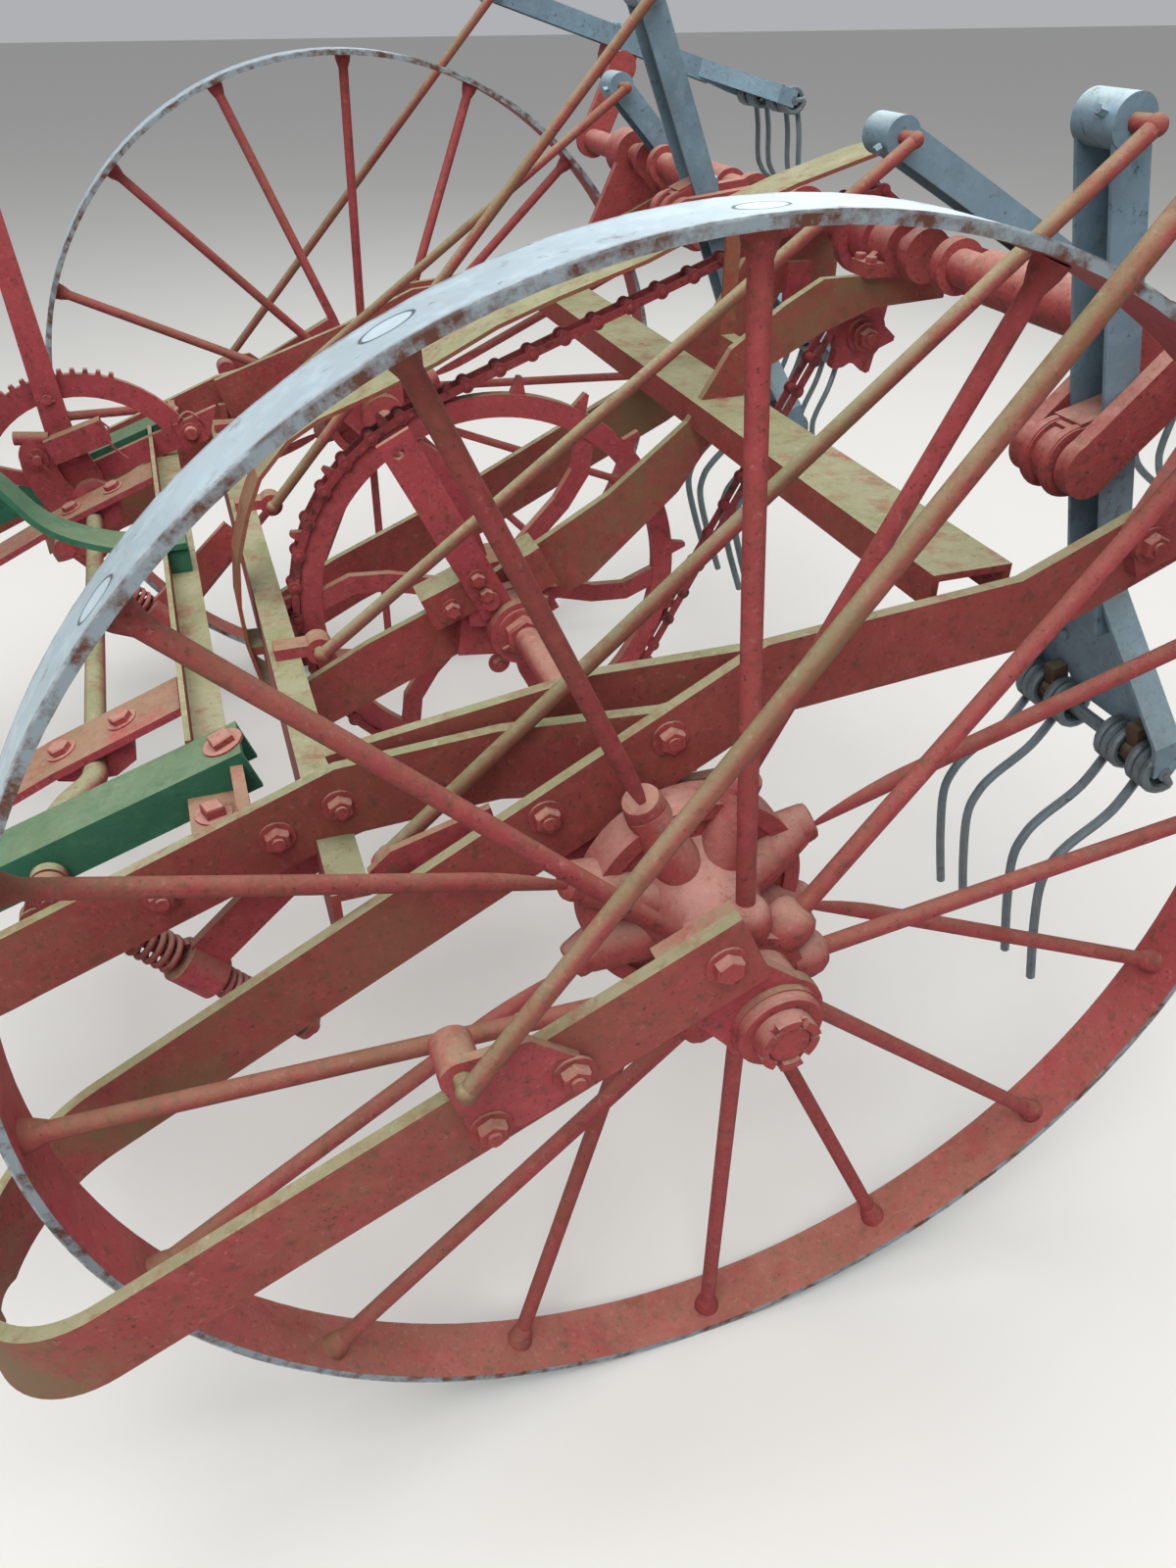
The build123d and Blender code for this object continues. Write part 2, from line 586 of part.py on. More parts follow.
def pin_bearing():
    """The casting between the channel's walls that runs on the crank's pin: a block and two rings."""
    wall = CHANNEL_HALF - CHANNEL_T
    shape = box(PIN_ALONG - 32, PIN_ALONG + 32, -wall, wall, CHANNEL_BACK + CHANNEL_T, PIN_OFF)
    shape += disc(PIN_ALONG, PIN_OFF, 28, -wall, wall)
    for y in (-wall + 6, wall - 6):
        shape += disc(PIN_ALONG, PIN_OFF, 33, y - 6, y + 6)
    return shape - disc(PIN_ALONG, PIN_OFF, PIN_R, -30, 30)


def tine_shape():
    """Cross rod, coils and four tines."""
    shape = disc(TINE_ALONG, 0, TINE_ROD_R, -119, 119)
    for y in TINE_Y:
        for k in (-1, 0, 1):
            shape += Pos(TINE_ALONG, y + 7.6 * k, 0) * Rot(90, 0, 0) * Torus(COIL_R - 4, 4)
        shape += box(TINE_ALONG - COIL_R + 4, TINE_ALONG - TINE_ROD_R + 2, y - 3, y + 3, -3, 3)
        path = Spline((TINE_ALONG, y, COIL_R - 4), (668, y, 52), (704, y, 100), (745, y, 128), (822, y, 148), (905, y, 156))
        start = Plane(origin=path @ 0, z_dir=path % 0)
        shape += sweep(start * Circle(4.5), path=path)
    return shape


def solve(angle_deg):
    """The head's position and the lever's angle for one crank angle."""
    pin = (CRANK_X + THROW * cos(radians(angle_deg)), CRANK_Z + THROW * sin(radians(angle_deg)))
    dx, dz = pin[0] - ROD_PIVOT[0], pin[1] - ROD_PIVOT[1]
    reach = hypot(dx, dz)
    along = (ROD_LEN ** 2 - HEAD_TO_PIN ** 2 + reach ** 2) / (2 * reach)
    rise = (ROD_LEN ** 2 - along ** 2) ** 0.5
    ux, uz = dx / reach, dz / reach
    head = (ROD_PIVOT[0] + along * ux + rise * uz, ROD_PIVOT[1] + along * uz - rise * ux)
    swing = atan2(pin[1] - head[1], pin[0] - head[0]) - atan2(PIN_OFF, PIN_ALONG)
    return head, swing


one_fork = fork_shape()
one_bearing = pin_bearing()
one_tine_set = tine_shape() - one_fork
BOSS_GAP = 10
BOSS_LONG = 27
BRACKET_Y = OUT_Y + HALF
pin_bearings = []
rods = []
brackets = []
for name, y, crank_deg, rod_side in FORKS:
    head, swing = solve(crank_deg)
    x_dir = (cos(swing), 0, sin(swing))
    place = Plane(origin=(head[0], y, head[1]), x_dir=x_dir, z_dir=(-sin(swing), 0, cos(swing))).location
    save(place * one_fork, name)
    save(place * one_tine_set, name.replace("fork", "tines"))
    pin_bearings.append(place * one_bearing)

    # The guide rod's two ends are bent: one into the head, one into the boss of its bracket
    rod_y = y + rod_side * ROD_OFF
    px, pz = ROD_PIVOT
    inward = 1 if name in ("fork_2", "fork_5", "fork_6") else -1
    near, far = rod_y + inward * BOSS_GAP, rod_y + inward * (BOSS_GAP + BOSS_LONG)
    if name == "fork_2":
        far = BEHIND_Y - HALF
    elif abs(y) > OUT_Y:
        far = rod_y + inward * 52
    rod = bar_between((px, rod_y, pz), (head[0], rod_y, head[1]), ROD_R)
    rod += disc(px, pz, ROD_R, rod_y, far)
    rod += disc(head[0], head[1], ROD_R, rod_y, y - rod_side * (PIN_HALF + 1))
    for x, z in (ROD_PIVOT, head):
        rod += Pos(x, rod_y, z) * Sphere(ROD_R + 1.5)
    rods.append(rod)

    if abs(y) > OUT_Y:
        s = 1 if y > 0 else -1
        plate = [(272, 668), (216, 673), (176, 640), (168, 622), (203, 588), (247, 575), (264, 588), (285, 652)]
        piece = prism(plate, s * BRACKET_Y, s * (BRACKET_Y + 8)) + disc(px, pz, 17, s * 943, s * (BRACKET_Y + 8))
    elif name == "fork_2":
        plate = [(290, 655), (268, 674), (175, 700), (165, 655), (236, 600), (262, 600)]
        piece = prism(plate, far - 8, far) + disc(px, pz, 17, near, far)
    else:
        piece = disc(px, pz, 16.5, near, far) + box(px, BEAM_X1 - 6, near, far, BEAM_TOP, BEAM_TOP + 14)
    brackets.append(piece - disc(px, pz, ROD_R, rod_y - 60, rod_y + 60))
save(Part() + pin_bearings, "pin_bearings")
save(Part() + rods, "guide_rods")
save(Part() + brackets, "rod_brackets")

# Lift tube: straight across the machine, then bent under the left shaft to a short arm
ROD_Y = 600.0
TUBE_END_Y = 408.0
UNDER = (590.0, 566.0)
UNDER_R = 13.0
tube = disc(TUBE[0], TUBE[1], TUBE_R, LEVER_Y - 14, TUBE_END_Y)
bend = Spline(
    (TUBE[0], TUBE_END_Y - 5, TUBE[1]), (553, 442, 602), (582, 480, 584), (UNDER[0], 520, UNDER[1]),
    (UNDER[0], ROD_Y - 12, UNDER[1]), tangents=((0, 1, 0), (0, 1, 0)),
)
tube += sweep(Plane(origin=bend @ 0, z_dir=bend % 0) * Circle(UNDER_R), path=bend)
tube += prism(band([UNDER, ARM_PIN], 16, -16), ROD_Y - 22, ROD_Y - 12)
tube += disc(UNDER[0], UNDER[1], 18, ROD_Y - 24, ROD_Y - 10)
tube += disc(ARM_PIN[0], ARM_PIN[1], 17, ROD_Y - 22, ROD_Y - 12)
tube += disc(ARM_PIN[0], ARM_PIN[1], 8, ROD_Y - 22, ROD_Y + 14)
save(tube, "lift_tube")

# Depth lever with its foot on the tube
lever_y0, lever_y1 = LEVER_Y - 5, LEVER_Y + 5
rear_edge = [(512, 590), (510, 640), (537, 711), (552, 934), (566, 1150)]
front_edge = [(600, 1150), (586, 934), (578, 711), (606, 680), (596, 650), (556, 600), (540, 580)]
lever = prism(rear_edge + front_edge, lever_y0, lever_y1)
lever += disc(TUBE[0], TUBE[1], 30, LEVER_Y - 10, LEVER_Y + 10)
lever -= disc(TUBE[0], TUBE[1], TUBE_R, LEVER_Y - 30, LEVER_Y + 30)
save(lever, "depth_lever")

# Toothed quadrant, on a bar on edge that crosses from the angle crossbar to the tube
QUAD_TEETH = [60 + 50 / 9 * k for k in range(10)]
quad_y0, quad_y1 = LEVER_Y - 22, LEVER_Y - 11
start, stop = radians(20), radians(150)
middle_r = QUAD_R - QUAD_W / 2


def on_quadrant(angle):
    return TUBE[0] + middle_r * cos(angle), TUBE[1] + middle_r * sin(angle)


sector = [on_quadrant(start + (stop - start) * i / 20) for i in range(21)]
quadrant = prism(band(sector, QUAD_W / 2, -QUAD_W / 2), quad_y0, quad_y1)
quadrant += teeth(TUBE[0], TUBE[1], QUAD_R, QUAD_R + 7, 4.5, QUAD_TEETH, quad_y0, quad_y1)
for angle in (start, radians(80)):
    quadrant += prism(band([TUBE, on_quadrant(angle)], 11, -11), quad_y0, quad_y1)
quadrant += disc(TUBE[0], TUBE[1], 26, quad_y0, quad_y1)
quadrant += prism([(315, 728), (520, 658), (534, 619), (332, 681)], quad_y0, quad_y1)
quadrant -= angle_bar
quadrant -= disc(TUBE[0], TUBE[1], TUBE_R + RUN, -FAR, FAR)
save(quadrant, "quadrant")

# Spring rod of the depth adjustment, with its two springs
ROD_DOWN = (-0.6364, -0.7716)


def on_rod(distance):
    return ARM_PIN[0] + ROD_DOWN[0] * distance, ROD_Y, ARM_PIN[1] + ROD_DOWN[1] * distance


def along_rod(d0, d1, radius):
    return bar_between(on_rod(d0), on_rod(d1), radius)


SPRING_ROD_R = 7.0
SPRINGS = (
    # start and end along the rod, outer radius of the coil, wire radius, turns
    (62, 150, 20.0, 3.4, 8),
    (196, 318, 17.0, 3.0, 14),
)
spring_rod = along_rod(10, 335, SPRING_ROD_R) + along_rod(56, 62, 20) + along_rod(318, 326, 17)
spring_rod += disc(ARM_PIN[0], ARM_PIN[1], 17, ROD_Y - 8, ROD_Y + 8)
spring_rod -= disc(ARM_PIN[0], ARM_PIN[1], 8, ROD_Y - 20, ROD_Y + 20)
save(spring_rod, "spring_rod")
springs = []
for d0, d1, radius, wire, turns in SPRINGS:
    height = d1 - d0 - 2 * wire
    coil = Helix(height / turns, height, radius - wire)
    turn_of_wire = Plane(origin=coil @ 0, z_dir=coil % 0) * Circle(wire)
    seat_at = Plane(origin=on_rod(d0 + wire), z_dir=(ROD_DOWN[0], 0, ROD_DOWN[1])).location
    springs.append(seat_at * sweep(turn_of_wire, path=coil, is_frenet=True))
save(Part() + springs, "rod_springs")

# Diagonal arm from the front beam, with the clevis block between the springs
depth_arm = prism(band([(300, 622), (397, 537.5), (452, 489)], 21, -21), ROD_Y - 6, ROD_Y + 6)
depth_arm += along_rod(150, 196, 24)
depth_arm -= along_rod(100, 240, SPRING_ROD_R)
for d0, d1, radius, wire, turns in SPRINGS:
    depth_arm -= along_rod(d0, d1, radius + 0.3)
depth_arm -= box(0, BEAM_X1, 0, FAR, 0, FAR)
save(depth_arm, "depth_arm")

# Seat on its leaf spring, which rests on the crossbar's leg and on a packing block behind it
leaf_z = ANGLE_TOP + 4
spring_line = [(395, leaf_z), (430, leaf_z), (487, leaf_z + 6), (556, 734), (598, 791), (655, 870)]
spring_line += [(715, 950), (780, 992), (860, 996)]
seat_spring = prism(band(spring_line, 4, -4), -30, 30)
seat_spring += box(395, ANGLE_X1 - ANGLE_T, -24, 24, ANGLE_LOW + ANGLE_T, ANGLE_TOP)
save(seat_spring, "seat_spring")
dish = Pos(0, 0, 330) * (Sphere(330) - Sphere(326))
seat = Pos(825, 0, 1000) * (dish & box(-260, 260, -260, 260, -1, 72))
seat += Pos(825, 0, 1004) * Cylinder(38, 8)
save(seat - seat_spring, "seat")
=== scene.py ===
import math

import bpy
from mathutils import Matrix, Vector


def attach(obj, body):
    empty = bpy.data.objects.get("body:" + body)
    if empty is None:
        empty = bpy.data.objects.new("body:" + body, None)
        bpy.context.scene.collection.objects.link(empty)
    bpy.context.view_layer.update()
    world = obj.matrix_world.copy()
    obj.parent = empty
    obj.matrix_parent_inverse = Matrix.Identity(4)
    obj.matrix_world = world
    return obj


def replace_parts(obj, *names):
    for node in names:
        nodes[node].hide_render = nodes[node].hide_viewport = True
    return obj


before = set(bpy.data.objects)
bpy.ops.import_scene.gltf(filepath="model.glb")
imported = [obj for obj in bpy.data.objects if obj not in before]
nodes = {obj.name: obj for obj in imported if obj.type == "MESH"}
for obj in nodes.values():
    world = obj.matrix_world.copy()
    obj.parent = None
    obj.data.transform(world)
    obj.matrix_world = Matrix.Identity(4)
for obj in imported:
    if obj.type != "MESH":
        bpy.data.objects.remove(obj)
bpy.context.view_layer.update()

# The part's origin is this far ahead of the axle. Places below are given from the axle, as in part.py.
AXLE_X = -0.6489

# Driving sizes of part.py, in metres: the wheels, and each wheel's first spoke in degrees
WHEEL_R, WHEEL_Y, RIM_W, SPOKES = 0.6, 0.8575, 0.063, 16
SPOKE_SET_OFF = 0.006
PHASE = {"left": -2.0, "right": 1.5}
SIDES = (("left", 1), ("right", -1))
Y, Z = (0, 1, 0), (0, 0, 1)

# Colours of paint, rust and growth, linear. The dark is also painted shade on faces that look down, and the
# pale is a painted highlight on the forks' upper faces
MOSS, FADED, LICHEN = (0.27, 0.26, 0.16), (0.44, 0.235, 0.2), (0.4, 0.39, 0.3)
OLIVE, RUST, DARK = (0.15, 0.105, 0.05), (0.1, 0.04, 0.025), (0.02, 0.015, 0.014)
PINK, RED, STEEL, TOP_HIGHLIGHT_PALE = (0.52, 0.2, 0.2), (0.33, 0.05, 0.06), (0.48, 0.58, 0.63), (0.45, 0.56, 0.62)


def at(x, y, z):
    return Vector((x + AXLE_X, y, z))


class Shape:
    """Collects the faces of one piece: tubes, bolts and blocks, all in metres."""

    def __init__(self):
        self.verts = []
        self.faces = []

    def rings(self, rings, caps=True, closed=False):
        start, sides = len(self.verts), len(rings[0])
        for ring in rings:
            self.verts.extend(ring)
        count = len(rings)
        for i in range(count if closed else count - 1):
            a, b = start + i * sides, start + (i + 1) % count * sides
            for j in range(sides):
                k = (j + 1) % sides
                self.faces.append((a + j, a + k, b + k, b + j))
        if caps and not closed:
            self.faces.append(tuple(start + j for j in reversed(range(sides))))
            self.faces.append(tuple(start + (count - 1) * sides + j for j in range(sides)))

    def tube(self, path, radius, sides=12, closed=False, turn=0.0):
        """A round bar along the path; radius is one number or one for each point."""
        path = [Vector(p) for p in path]
        radii = radius if isinstance(radius, (list, tuple)) else [radius] * len(path)
        ahead = (path[1] - path[0]).normalized()
        side = ahead.orthogonal().normalized()
        rings = []
        for i, p in enumerate(path):
            before = path[i - 1] if i or closed else p
            after = path[(i + 1) % len(path)] if i + 1 < len(path) or closed else p
            ahead = (after - before).normalized()
            side = (side - ahead * side.dot(ahead)).normalized()
            up = ahead.cross(side)
            ring = []
            for j in range(sides):
                a = 2 * math.pi * j / sides + turn
                ring.append(p + (side * math.cos(a) + up * math.sin(a)) * radii[i])
            rings.append(ring)
        self.rings(rings, closed=closed)

    def rod(self, p, q, radius, sides=20):
        self.tube((p, q), radius, sides)

    def block(self, middle, along, across, half_long, half_wide, half_high):
        """A box by its middle, two directions and three half sizes."""
        along = Vector(along).normalized()
        across = Vector(across)
        across = (across - along * across.dot(along)).normalized()
        up = along.cross(across)
        rings = []
        for s in (-1, 1):
            corners = ((-1, -1), (1, -1), (1, 1), (-1, 1))
            base = Vector(middle) + along * half_long * s
            rings.append([base + across * half_wide * a + up * half_high * b for a, b in corners])
        self.rings(rings)

    def bolt(self, place, axis, radius=0.013, height=0.009, washer=True, stub=0.0, sides=6, turn=0.3):
        """A bolt head or nut that stands on place, with its washer and the end of its thread."""
        place, axis = Vector(place), Vector(axis).normalized()
        if washer:
            self.tube((place - axis * 0.001, place + axis * 0.0022), radius * 1.35, 20)
            place = place + axis * 0.0022
        steps = ((-0.001, 1.0), (height * 0.8, 1.0), (height, 0.86))
        self.tube([place + axis * h for h, _ in steps], [radius * r for _, r in steps], sides, turn=turn)
        if stub:
            self.tube((place, place + axis * (height + stub)), radius * 0.5, 14)

    def turned(self, place, axis, profile, sides=28):
        """A turned form: profile lists (distance along the axis, radius)."""
        place, axis = Vector(place), Vector(axis).normalized()
        self.tube([place + axis * d for d, _ in profile], [r for _, r in profile], sides)

    def helix(self, p, q, radius, wire, turns, per_turn=18):
        p, q = Vector(p), Vector(q)
        axis = (q - p).normalized()
        a, steps = axis.orthogonal().normalized(), int(turns * per_turn)
        b = axis.cross(a)
        path = []
        for i in range(steps + 1):
            t = 2 * math.pi * i / per_turn
            path.append(p.lerp(q, i / steps) + (a * math.cos(t) + b * math.sin(t)) * radius)
        self.tube(path, wire, 8)

    def plate(self, outline, y0, y1):
        """A flat plate on edge, by an outline of x and z from the axle."""
        low = [at(x, y0, z) for x, z in outline]
        high = [at(x, y1, z) for x, z in outline]
        self.rings([low, high])

    def done(self, name, body, key, smooth=40.0):
        mesh = bpy.data.meshes.new(name)
        mesh.from_pydata(self.verts, [], self.faces)
        mesh.materials.append(M[key])
        obj = bpy.data.objects.new(name, mesh)
        bpy.context.collection.objects.link(obj)
        bpy.context.view_layer.objects.active = obj
        obj.select_set(True)
        bpy.ops.object.shade_smooth_by_angle(angle=math.radians(smooth))
        obj.select_set(False)
        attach(obj, body)
        return obj


# Materials
class Nodes:
    """Short calls that add shader nodes to one material."""

    def __init__(self, name, rough, metallic):
        self.mat = bpy.data.materials.new(name)
        self.mat.use_nodes = True
        self.tree = self.mat.node_tree
        self.shader = self.tree.nodes["Principled BSDF"]
        self.shader.inputs["Roughness"].default_value = rough
        self.shader.inputs["Metallic"].default_value = metallic
        self.shader.inputs["Specular IOR Level"].default_value = 0.2
        self.coord = self.tree.nodes.new("ShaderNodeTexCoord").outputs["Object"]

    def link(self, value, socket):
        if isinstance(value, (int, float)):
            socket.default_value = value
        elif isinstance(value, tuple):
            socket.default_value = value + (1.0,)
        else:
            self.tree.links.new(value, socket)

    def noise(self, size, detail, roughness):
        node = self.tree.nodes.new("ShaderNodeTexNoise")
        node.inputs["Scale"].default_value = size
        node.inputs["Detail"].default_value = detail
        node.inputs["Roughness"].default_value = roughness
        self.link(self.coord, node.inputs["Vector"])
        return node.outputs["Fac"]

    def ramp(self, value, low, high):
        node = self.tree.nodes.new("ShaderNodeMapRange")
        node.inputs["From Min"].default_value = low
        node.inputs["From Max"].default_value = high
        node.clamp = True
        self.link(value, node.inputs["Value"])
        return node.outputs["Result"]

    def mix(self, fac, a, b):
        node = self.tree.nodes.new("ShaderNodeMix")
        node.data_type = "RGBA"
        self.link(fac, node.inputs["Factor"])
        for socket, value in (("A", a), ("B", b)):
            self.link(value, [s for s in node.inputs if s.name == socket and s.type == "RGBA"][0])
        return [s for s in node.outputs if s.type == "RGBA"][0]

    def math(self, kind, a, b=0.0):
        node = self.tree.nodes.new("ShaderNodeMath")
        node.operation = kind
        self.link(a, node.inputs[0])
        self.link(b, node.inputs[1])
        return node.outputs[0]

    def hypot(self, a, b):
        return self.math("SQRT", self.math("ADD", self.math("MULTIPLY", a, a), self.math("MULTIPLY", b, b)))

    def axes(self, value):
        node = self.tree.nodes.new("ShaderNodeSeparateXYZ")
        self.link(value, node.inputs["Vector"])
        return node.outputs

    def mottled(self, base, spots, grime):
        """The base colour with broad dark mottling, fine light flecks and spots of rust."""
        dark = tuple(c * 0.55 for c in base)
        light = tuple(min(1.0, c * 1.35 + 0.02) for c in base)
        color = self.patches(9.0, 4.0, 0.6, 0.35, 0.75, grime, base, dark)
        color = self.patches(55.0, 5.0, 0.6, 0.5, 0.8, 0.5, color, light)
        for spot_color, size, low, high, amount in spots:
            color = self.patches(size, 8.0, 0.7, low, high, amount, color, spot_color)
        return color

    def patches(self, size, detail, roughness, low, high, amount, color, patch_color):
        """The colour with patches of another: the noise's size, detail and roughness, where they start and
        are full in it, and their strength."""
        fac = self.math("MULTIPLY", self.ramp(self.noise(size, detail, roughness), low, high), amount)
        return self.mix(fac, color, patch_color)

    def mossed(self, color, amount, sides, top):
        """Moss, faded paint, and on the forks a pale painted highlight, on faces that look up; brown-olive
        patches on the others; painted shade that darkens faces that look down.
        """
        normal = self.axes(self.tree.nodes.new("ShaderNodeNewGeometry").outputs["Normal"])
        # Painted shade: faces that look down are darkened towards the dark colour.
        underside_shade = self.math("MULTIPLY", self.ramp(self.math("MULTIPLY", normal["Z"], -1.0), 0.1, 0.9), 0.4)
        color = self.mix(underside_shade, color, DARK)
        color = self.patches(7.0, 8.0, 0.75, 0.42, 0.62, sides, color, OLIVE)
        growth = self.ramp(self.noise(22.0, 8.0, 0.75), 0.26, 0.49)
        up = self.math("MULTIPLY", self.ramp(normal["Z"], 0.2, 0.85), growth)
        shade = tuple(c * k for c, k in zip(top, (0.62, 0.7, 0.5)))
        cover = self.patches(9.0, 6.0, 0.7, 0.4, 0.62, 0.65, top, shade)
        cover = self.patches(130.0, 8.0, 0.75, 0.55, 0.68, 0.5, cover, LICHEN)
        cover = self.patches(75.0, 8.0, 0.75, 0.55, 0.66, 0.6, cover, OLIVE)
        return self.mix(self.math("MULTIPLY", up, amount), color, cover)

    def bumped(self, strength):
        node = self.tree.nodes.new("ShaderNodeBump")
        node.inputs["Strength"].default_value = strength
        node.inputs["Distance"].default_value = 0.003
        self.link(self.noise(190.0, 8.0, 0.7), node.inputs["Height"])
        self.link(node.outputs["Normal"], self.shader.inputs["Normal"])


def material(
    name, base, rough=0.7, metallic=0.0, spots=(), moss=0.0, sides=0.1, olive=None, behind=1.0, top=MOSS,
    bump=0.35, grime=0.45,
):
    """Weathered paint or metal; olive is from where to where along X it gets more olive, and by how much.
    behind is the share of the moss that grows where the olive starts."""
    n = Nodes(name, rough, metallic)
    color = n.mottled(base, spots, grime)
    if olive:
        start, end, more = olive
        along = n.ramp(n.axes(n.coord)["X"], AXLE_X + start, AXLE_X + end)
        sides = n.math("ADD", n.math("MULTIPLY", along, more), sides)
        moss = n.math("MULTIPLY", n.math("ADD", n.math("MULTIPLY", along, 1 - behind), behind), moss)
    color = n.mossed(color, moss, sides, top)
    n.link(color, n.shader.inputs["Base Color"])
    n.bumped(bump)
    return n.mat


def rim_material(name, side, phase, paint, steel, spots):
    """Red inside and on the edges, bare steel on the tread, with a flush rivet over each spoke."""
    n = Nodes(name, 0.6, 0.0)
    place = n.axes(n.coord)
    x, z = n.math("SUBTRACT", place["X"], AXLE_X), n.math("SUBTRACT", place["Z"], WHEEL_R)
    radius = n.hypot(x, z)
    tread = n.ramp(radius, WHEEL_R - 0.0025, WHEEL_R - 0.0008)
    # How far round from the nearest spoke, and which way that spoke's end is set off
    pitch = 2 * math.pi / SPOKES
    turn = n.math("DIVIDE", n.math("SUBTRACT", n.math("ARCTAN2", z, x), math.radians(phase)), pitch)
    nearest = n.math("ROUND", turn)
    round_by = n.math("MULTIPLY", n.math("SUBTRACT", turn, nearest), pitch * WHEEL_R)
    odd = n.math("ABSOLUTE", n.math("MODULO", nearest, 2.0))
    set_off = n.math("SUBTRACT", SPOKE_SET_OFF, n.math("MULTIPLY", odd, 2 * SPOKE_SET_OFF))
    across = n.math("SUBTRACT", n.math("MULTIPLY", place["Y"], side), n.math("ADD", set_off, WHEEL_Y))
    # The rivet's head is an oval, longer round the wheel, with a fine dark groove about it
    away = n.hypot(n.math("MULTIPLY", round_by, 0.6), across)
    head = n.math("SUBTRACT", 1.0, n.ramp(away, 0.0095, 0.0105))
    from_groove = n.math("ABSOLUTE", n.math("SUBTRACT", away, 0.0108))
    groove = n.math("SUBTRACT", 1.0, n.ramp(from_groove, 0.0004, 0.0012))
    color = n.mottled(steel, spots, 0.5)
    color = n.mix(n.math("MULTIPLY", head, 0.35), color, tuple(min(1.0, c * 1.5) for c in steel))
    color = n.mix(n.math("MULTIPLY", groove, 0.8), color, DARK)
    # The band's edges: worn dark steel, with rust that reaches on to the tread
    off = n.math("ABSOLUTE", n.math("SUBTRACT", n.math("ABSOLUTE", place["Y"]), WHEEL_Y))
    rusty = n.math("MULTIPLY", n.ramp(off, 0.0265, 0.031), n.ramp(n.noise(40.0, 8.0, 0.7), 0.4, 0.6))
    color = n.mix(n.math("MULTIPLY", rusty, 0.8), color, RUST)
    edge = n.ramp(off, RIM_W / 2 - 0.0006, RIM_W / 2 - 0.0001)
    worn = n.mix(n.ramp(n.noise(35.0, 8.0, 0.7), 0.45, 0.6), tuple(c * 0.45 for c in steel), RUST)
    inside = n.mix(edge, n.mossed(n.mottled(paint, red_spots, 0.5), 0.3, 0.25, MOSS), worn)
    n.link(n.mix(tread, inside, color), n.shader.inputs["Base Color"])
    n.link(n.math("MULTIPLY", tread, 0.55), n.shader.inputs["Metallic"])
    n.link(n.math("SUBTRACT", 0.75, n.math("MULTIPLY", tread, 0.3)), n.shader.inputs["Roughness"])
    n.bumped(0.15)
    return n.mat


# Spots are colour, size, where they start and are full in the noise, and strength
red_spots = (
    (PINK, 130.0, 0.58, 0.7, 0.35),
    (RUST, 70.0, 0.54, 0.66, 0.7),
    (DARK, 210.0, 0.58, 0.66, 0.75),
)
grey_spots = ((DARK, 120.0, 0.58, 0.7, 0.7), (RUST, 45.0, 0.6, 0.7, 0.6))
tread_spots = ((RUST, 26.0, 0.6, 0.7, 0.7), (DARK, 90.0, 0.62, 0.72, 0.6))
green_spots = ((DARK, 80.0, 0.58, 0.7, 0.6),)
chain_spots = ((DARK, 30.0, 0.53, 0.62, 0.8),)
M = {
    "red": material("red_paint", RED, spots=red_spots, moss=0.6),
    "mossy": material("red_mossy", (0.26, 0.045, 0.042), spots=red_spots, moss=1.0, sides=0.3),
    "loop": material(
        "loop_mossy", (0.27, 0.05, 0.046), spots=red_spots, moss=0.9, sides=0.2, olive=(0.1, 0.6, 0.7)
    ),
    "arm": material(
        "arm_mossy", (0.26, 0.045, 0.042), spots=red_spots, moss=1.0, sides=0.25, olive=(-0.02, -0.1, 0.6)
    ),
    "guard": material("guard_mossy", (0.26, 0.06, 0.04), spots=red_spots, moss=1.0, sides=0.9),
    "cast": material(
        "red_casting", (0.32, 0.055, 0.055), 0.8, spots=red_spots, moss=0.85, top=FADED, bump=0.7
    ),
    "spoke": material(
        "spoke_red", (0.3, 0.048, 0.052), spots=red_spots, moss=0.25, olive=(-0.1, 0.4, 0.4), bump=0.6
    ),
    "rod": material(
        "rod_olive", (0.28, 0.055, 0.05), spots=red_spots, moss=1.0, sides=0.15, olive=(-0.5, -0.28, 0.65),
        behind=0.3, bump=0.6,
    ),
    # The forks' faces that look up get a pale painted highlight, with lichen and olive patches on it.
    "grey": material(
        "fork_grey", (0.175, 0.265, 0.325), 0.45, 0.2, grey_spots, moss=0.75, sides=0.1, top=TOP_HIGHLIGHT_PALE, grime=0.75
    ),
    "tine": material("tine_steel", (0.15, 0.19, 0.21), 0.45, 0.5, grey_spots, grime=0.7),
    "green": material("green_paint", (0.025, 0.13, 0.075), spots=green_spots, moss=0.4, sides=0.1),
    "chain": material("chain_red", (0.25, 0.036, 0.042), 0.6, spots=red_spots + chain_spots),
    "rusty": material("rusty_iron", (0.07, 0.04, 0.03), 0.9, spots=red_spots, moss=0.5, sides=0.3, bump=0.8),
}
RIM_RED = (0.37, 0.05, 0.062)
for name, side in SIDES:
    M[f"rim_{name}"] = rim_material(f"rim_{name}", side, PHASE[name], RIM_RED, STEEL, tread_spots)

# Which material each node takes. The forks are grey, and what isn't named is plain red.
node_material = {}
for key, names in (
    ("rim_left", ("rim_left",)),
    ("rim_right", ("rim_right",)),
    ("spoke", ("spokes_left", "spokes_right")),
    ("loop", ("loop_left", "loop_right")),
    ("guard", ("chain_guard",)),
    ("chain", ("drive_chain",)),
    ("rod", ("guide_rods",)),
    ("cast", ("hub_left", "hub_right", "rod_springs", "axle")),
    ("cast", ("crankshaft", "crank_bearings", "pin_bearings")),
    ("mossy", ("rear_beam", "front_beam", "side_bars", "front_bars", "lift_tube", "angle_crossbar")),
    ("arm", ("centre_arms",)),
    ("green", ("shafts", "seat_spring", "seat")),
):
    node_material.update(dict.fromkeys(names, key))
for name, obj in nodes.items():
    key = node_material.get(name, "grey" if name[:4] in ("fork", "tine") else "red")
    obj.data.materials.clear()
    obj.data.materials.append(M[key])

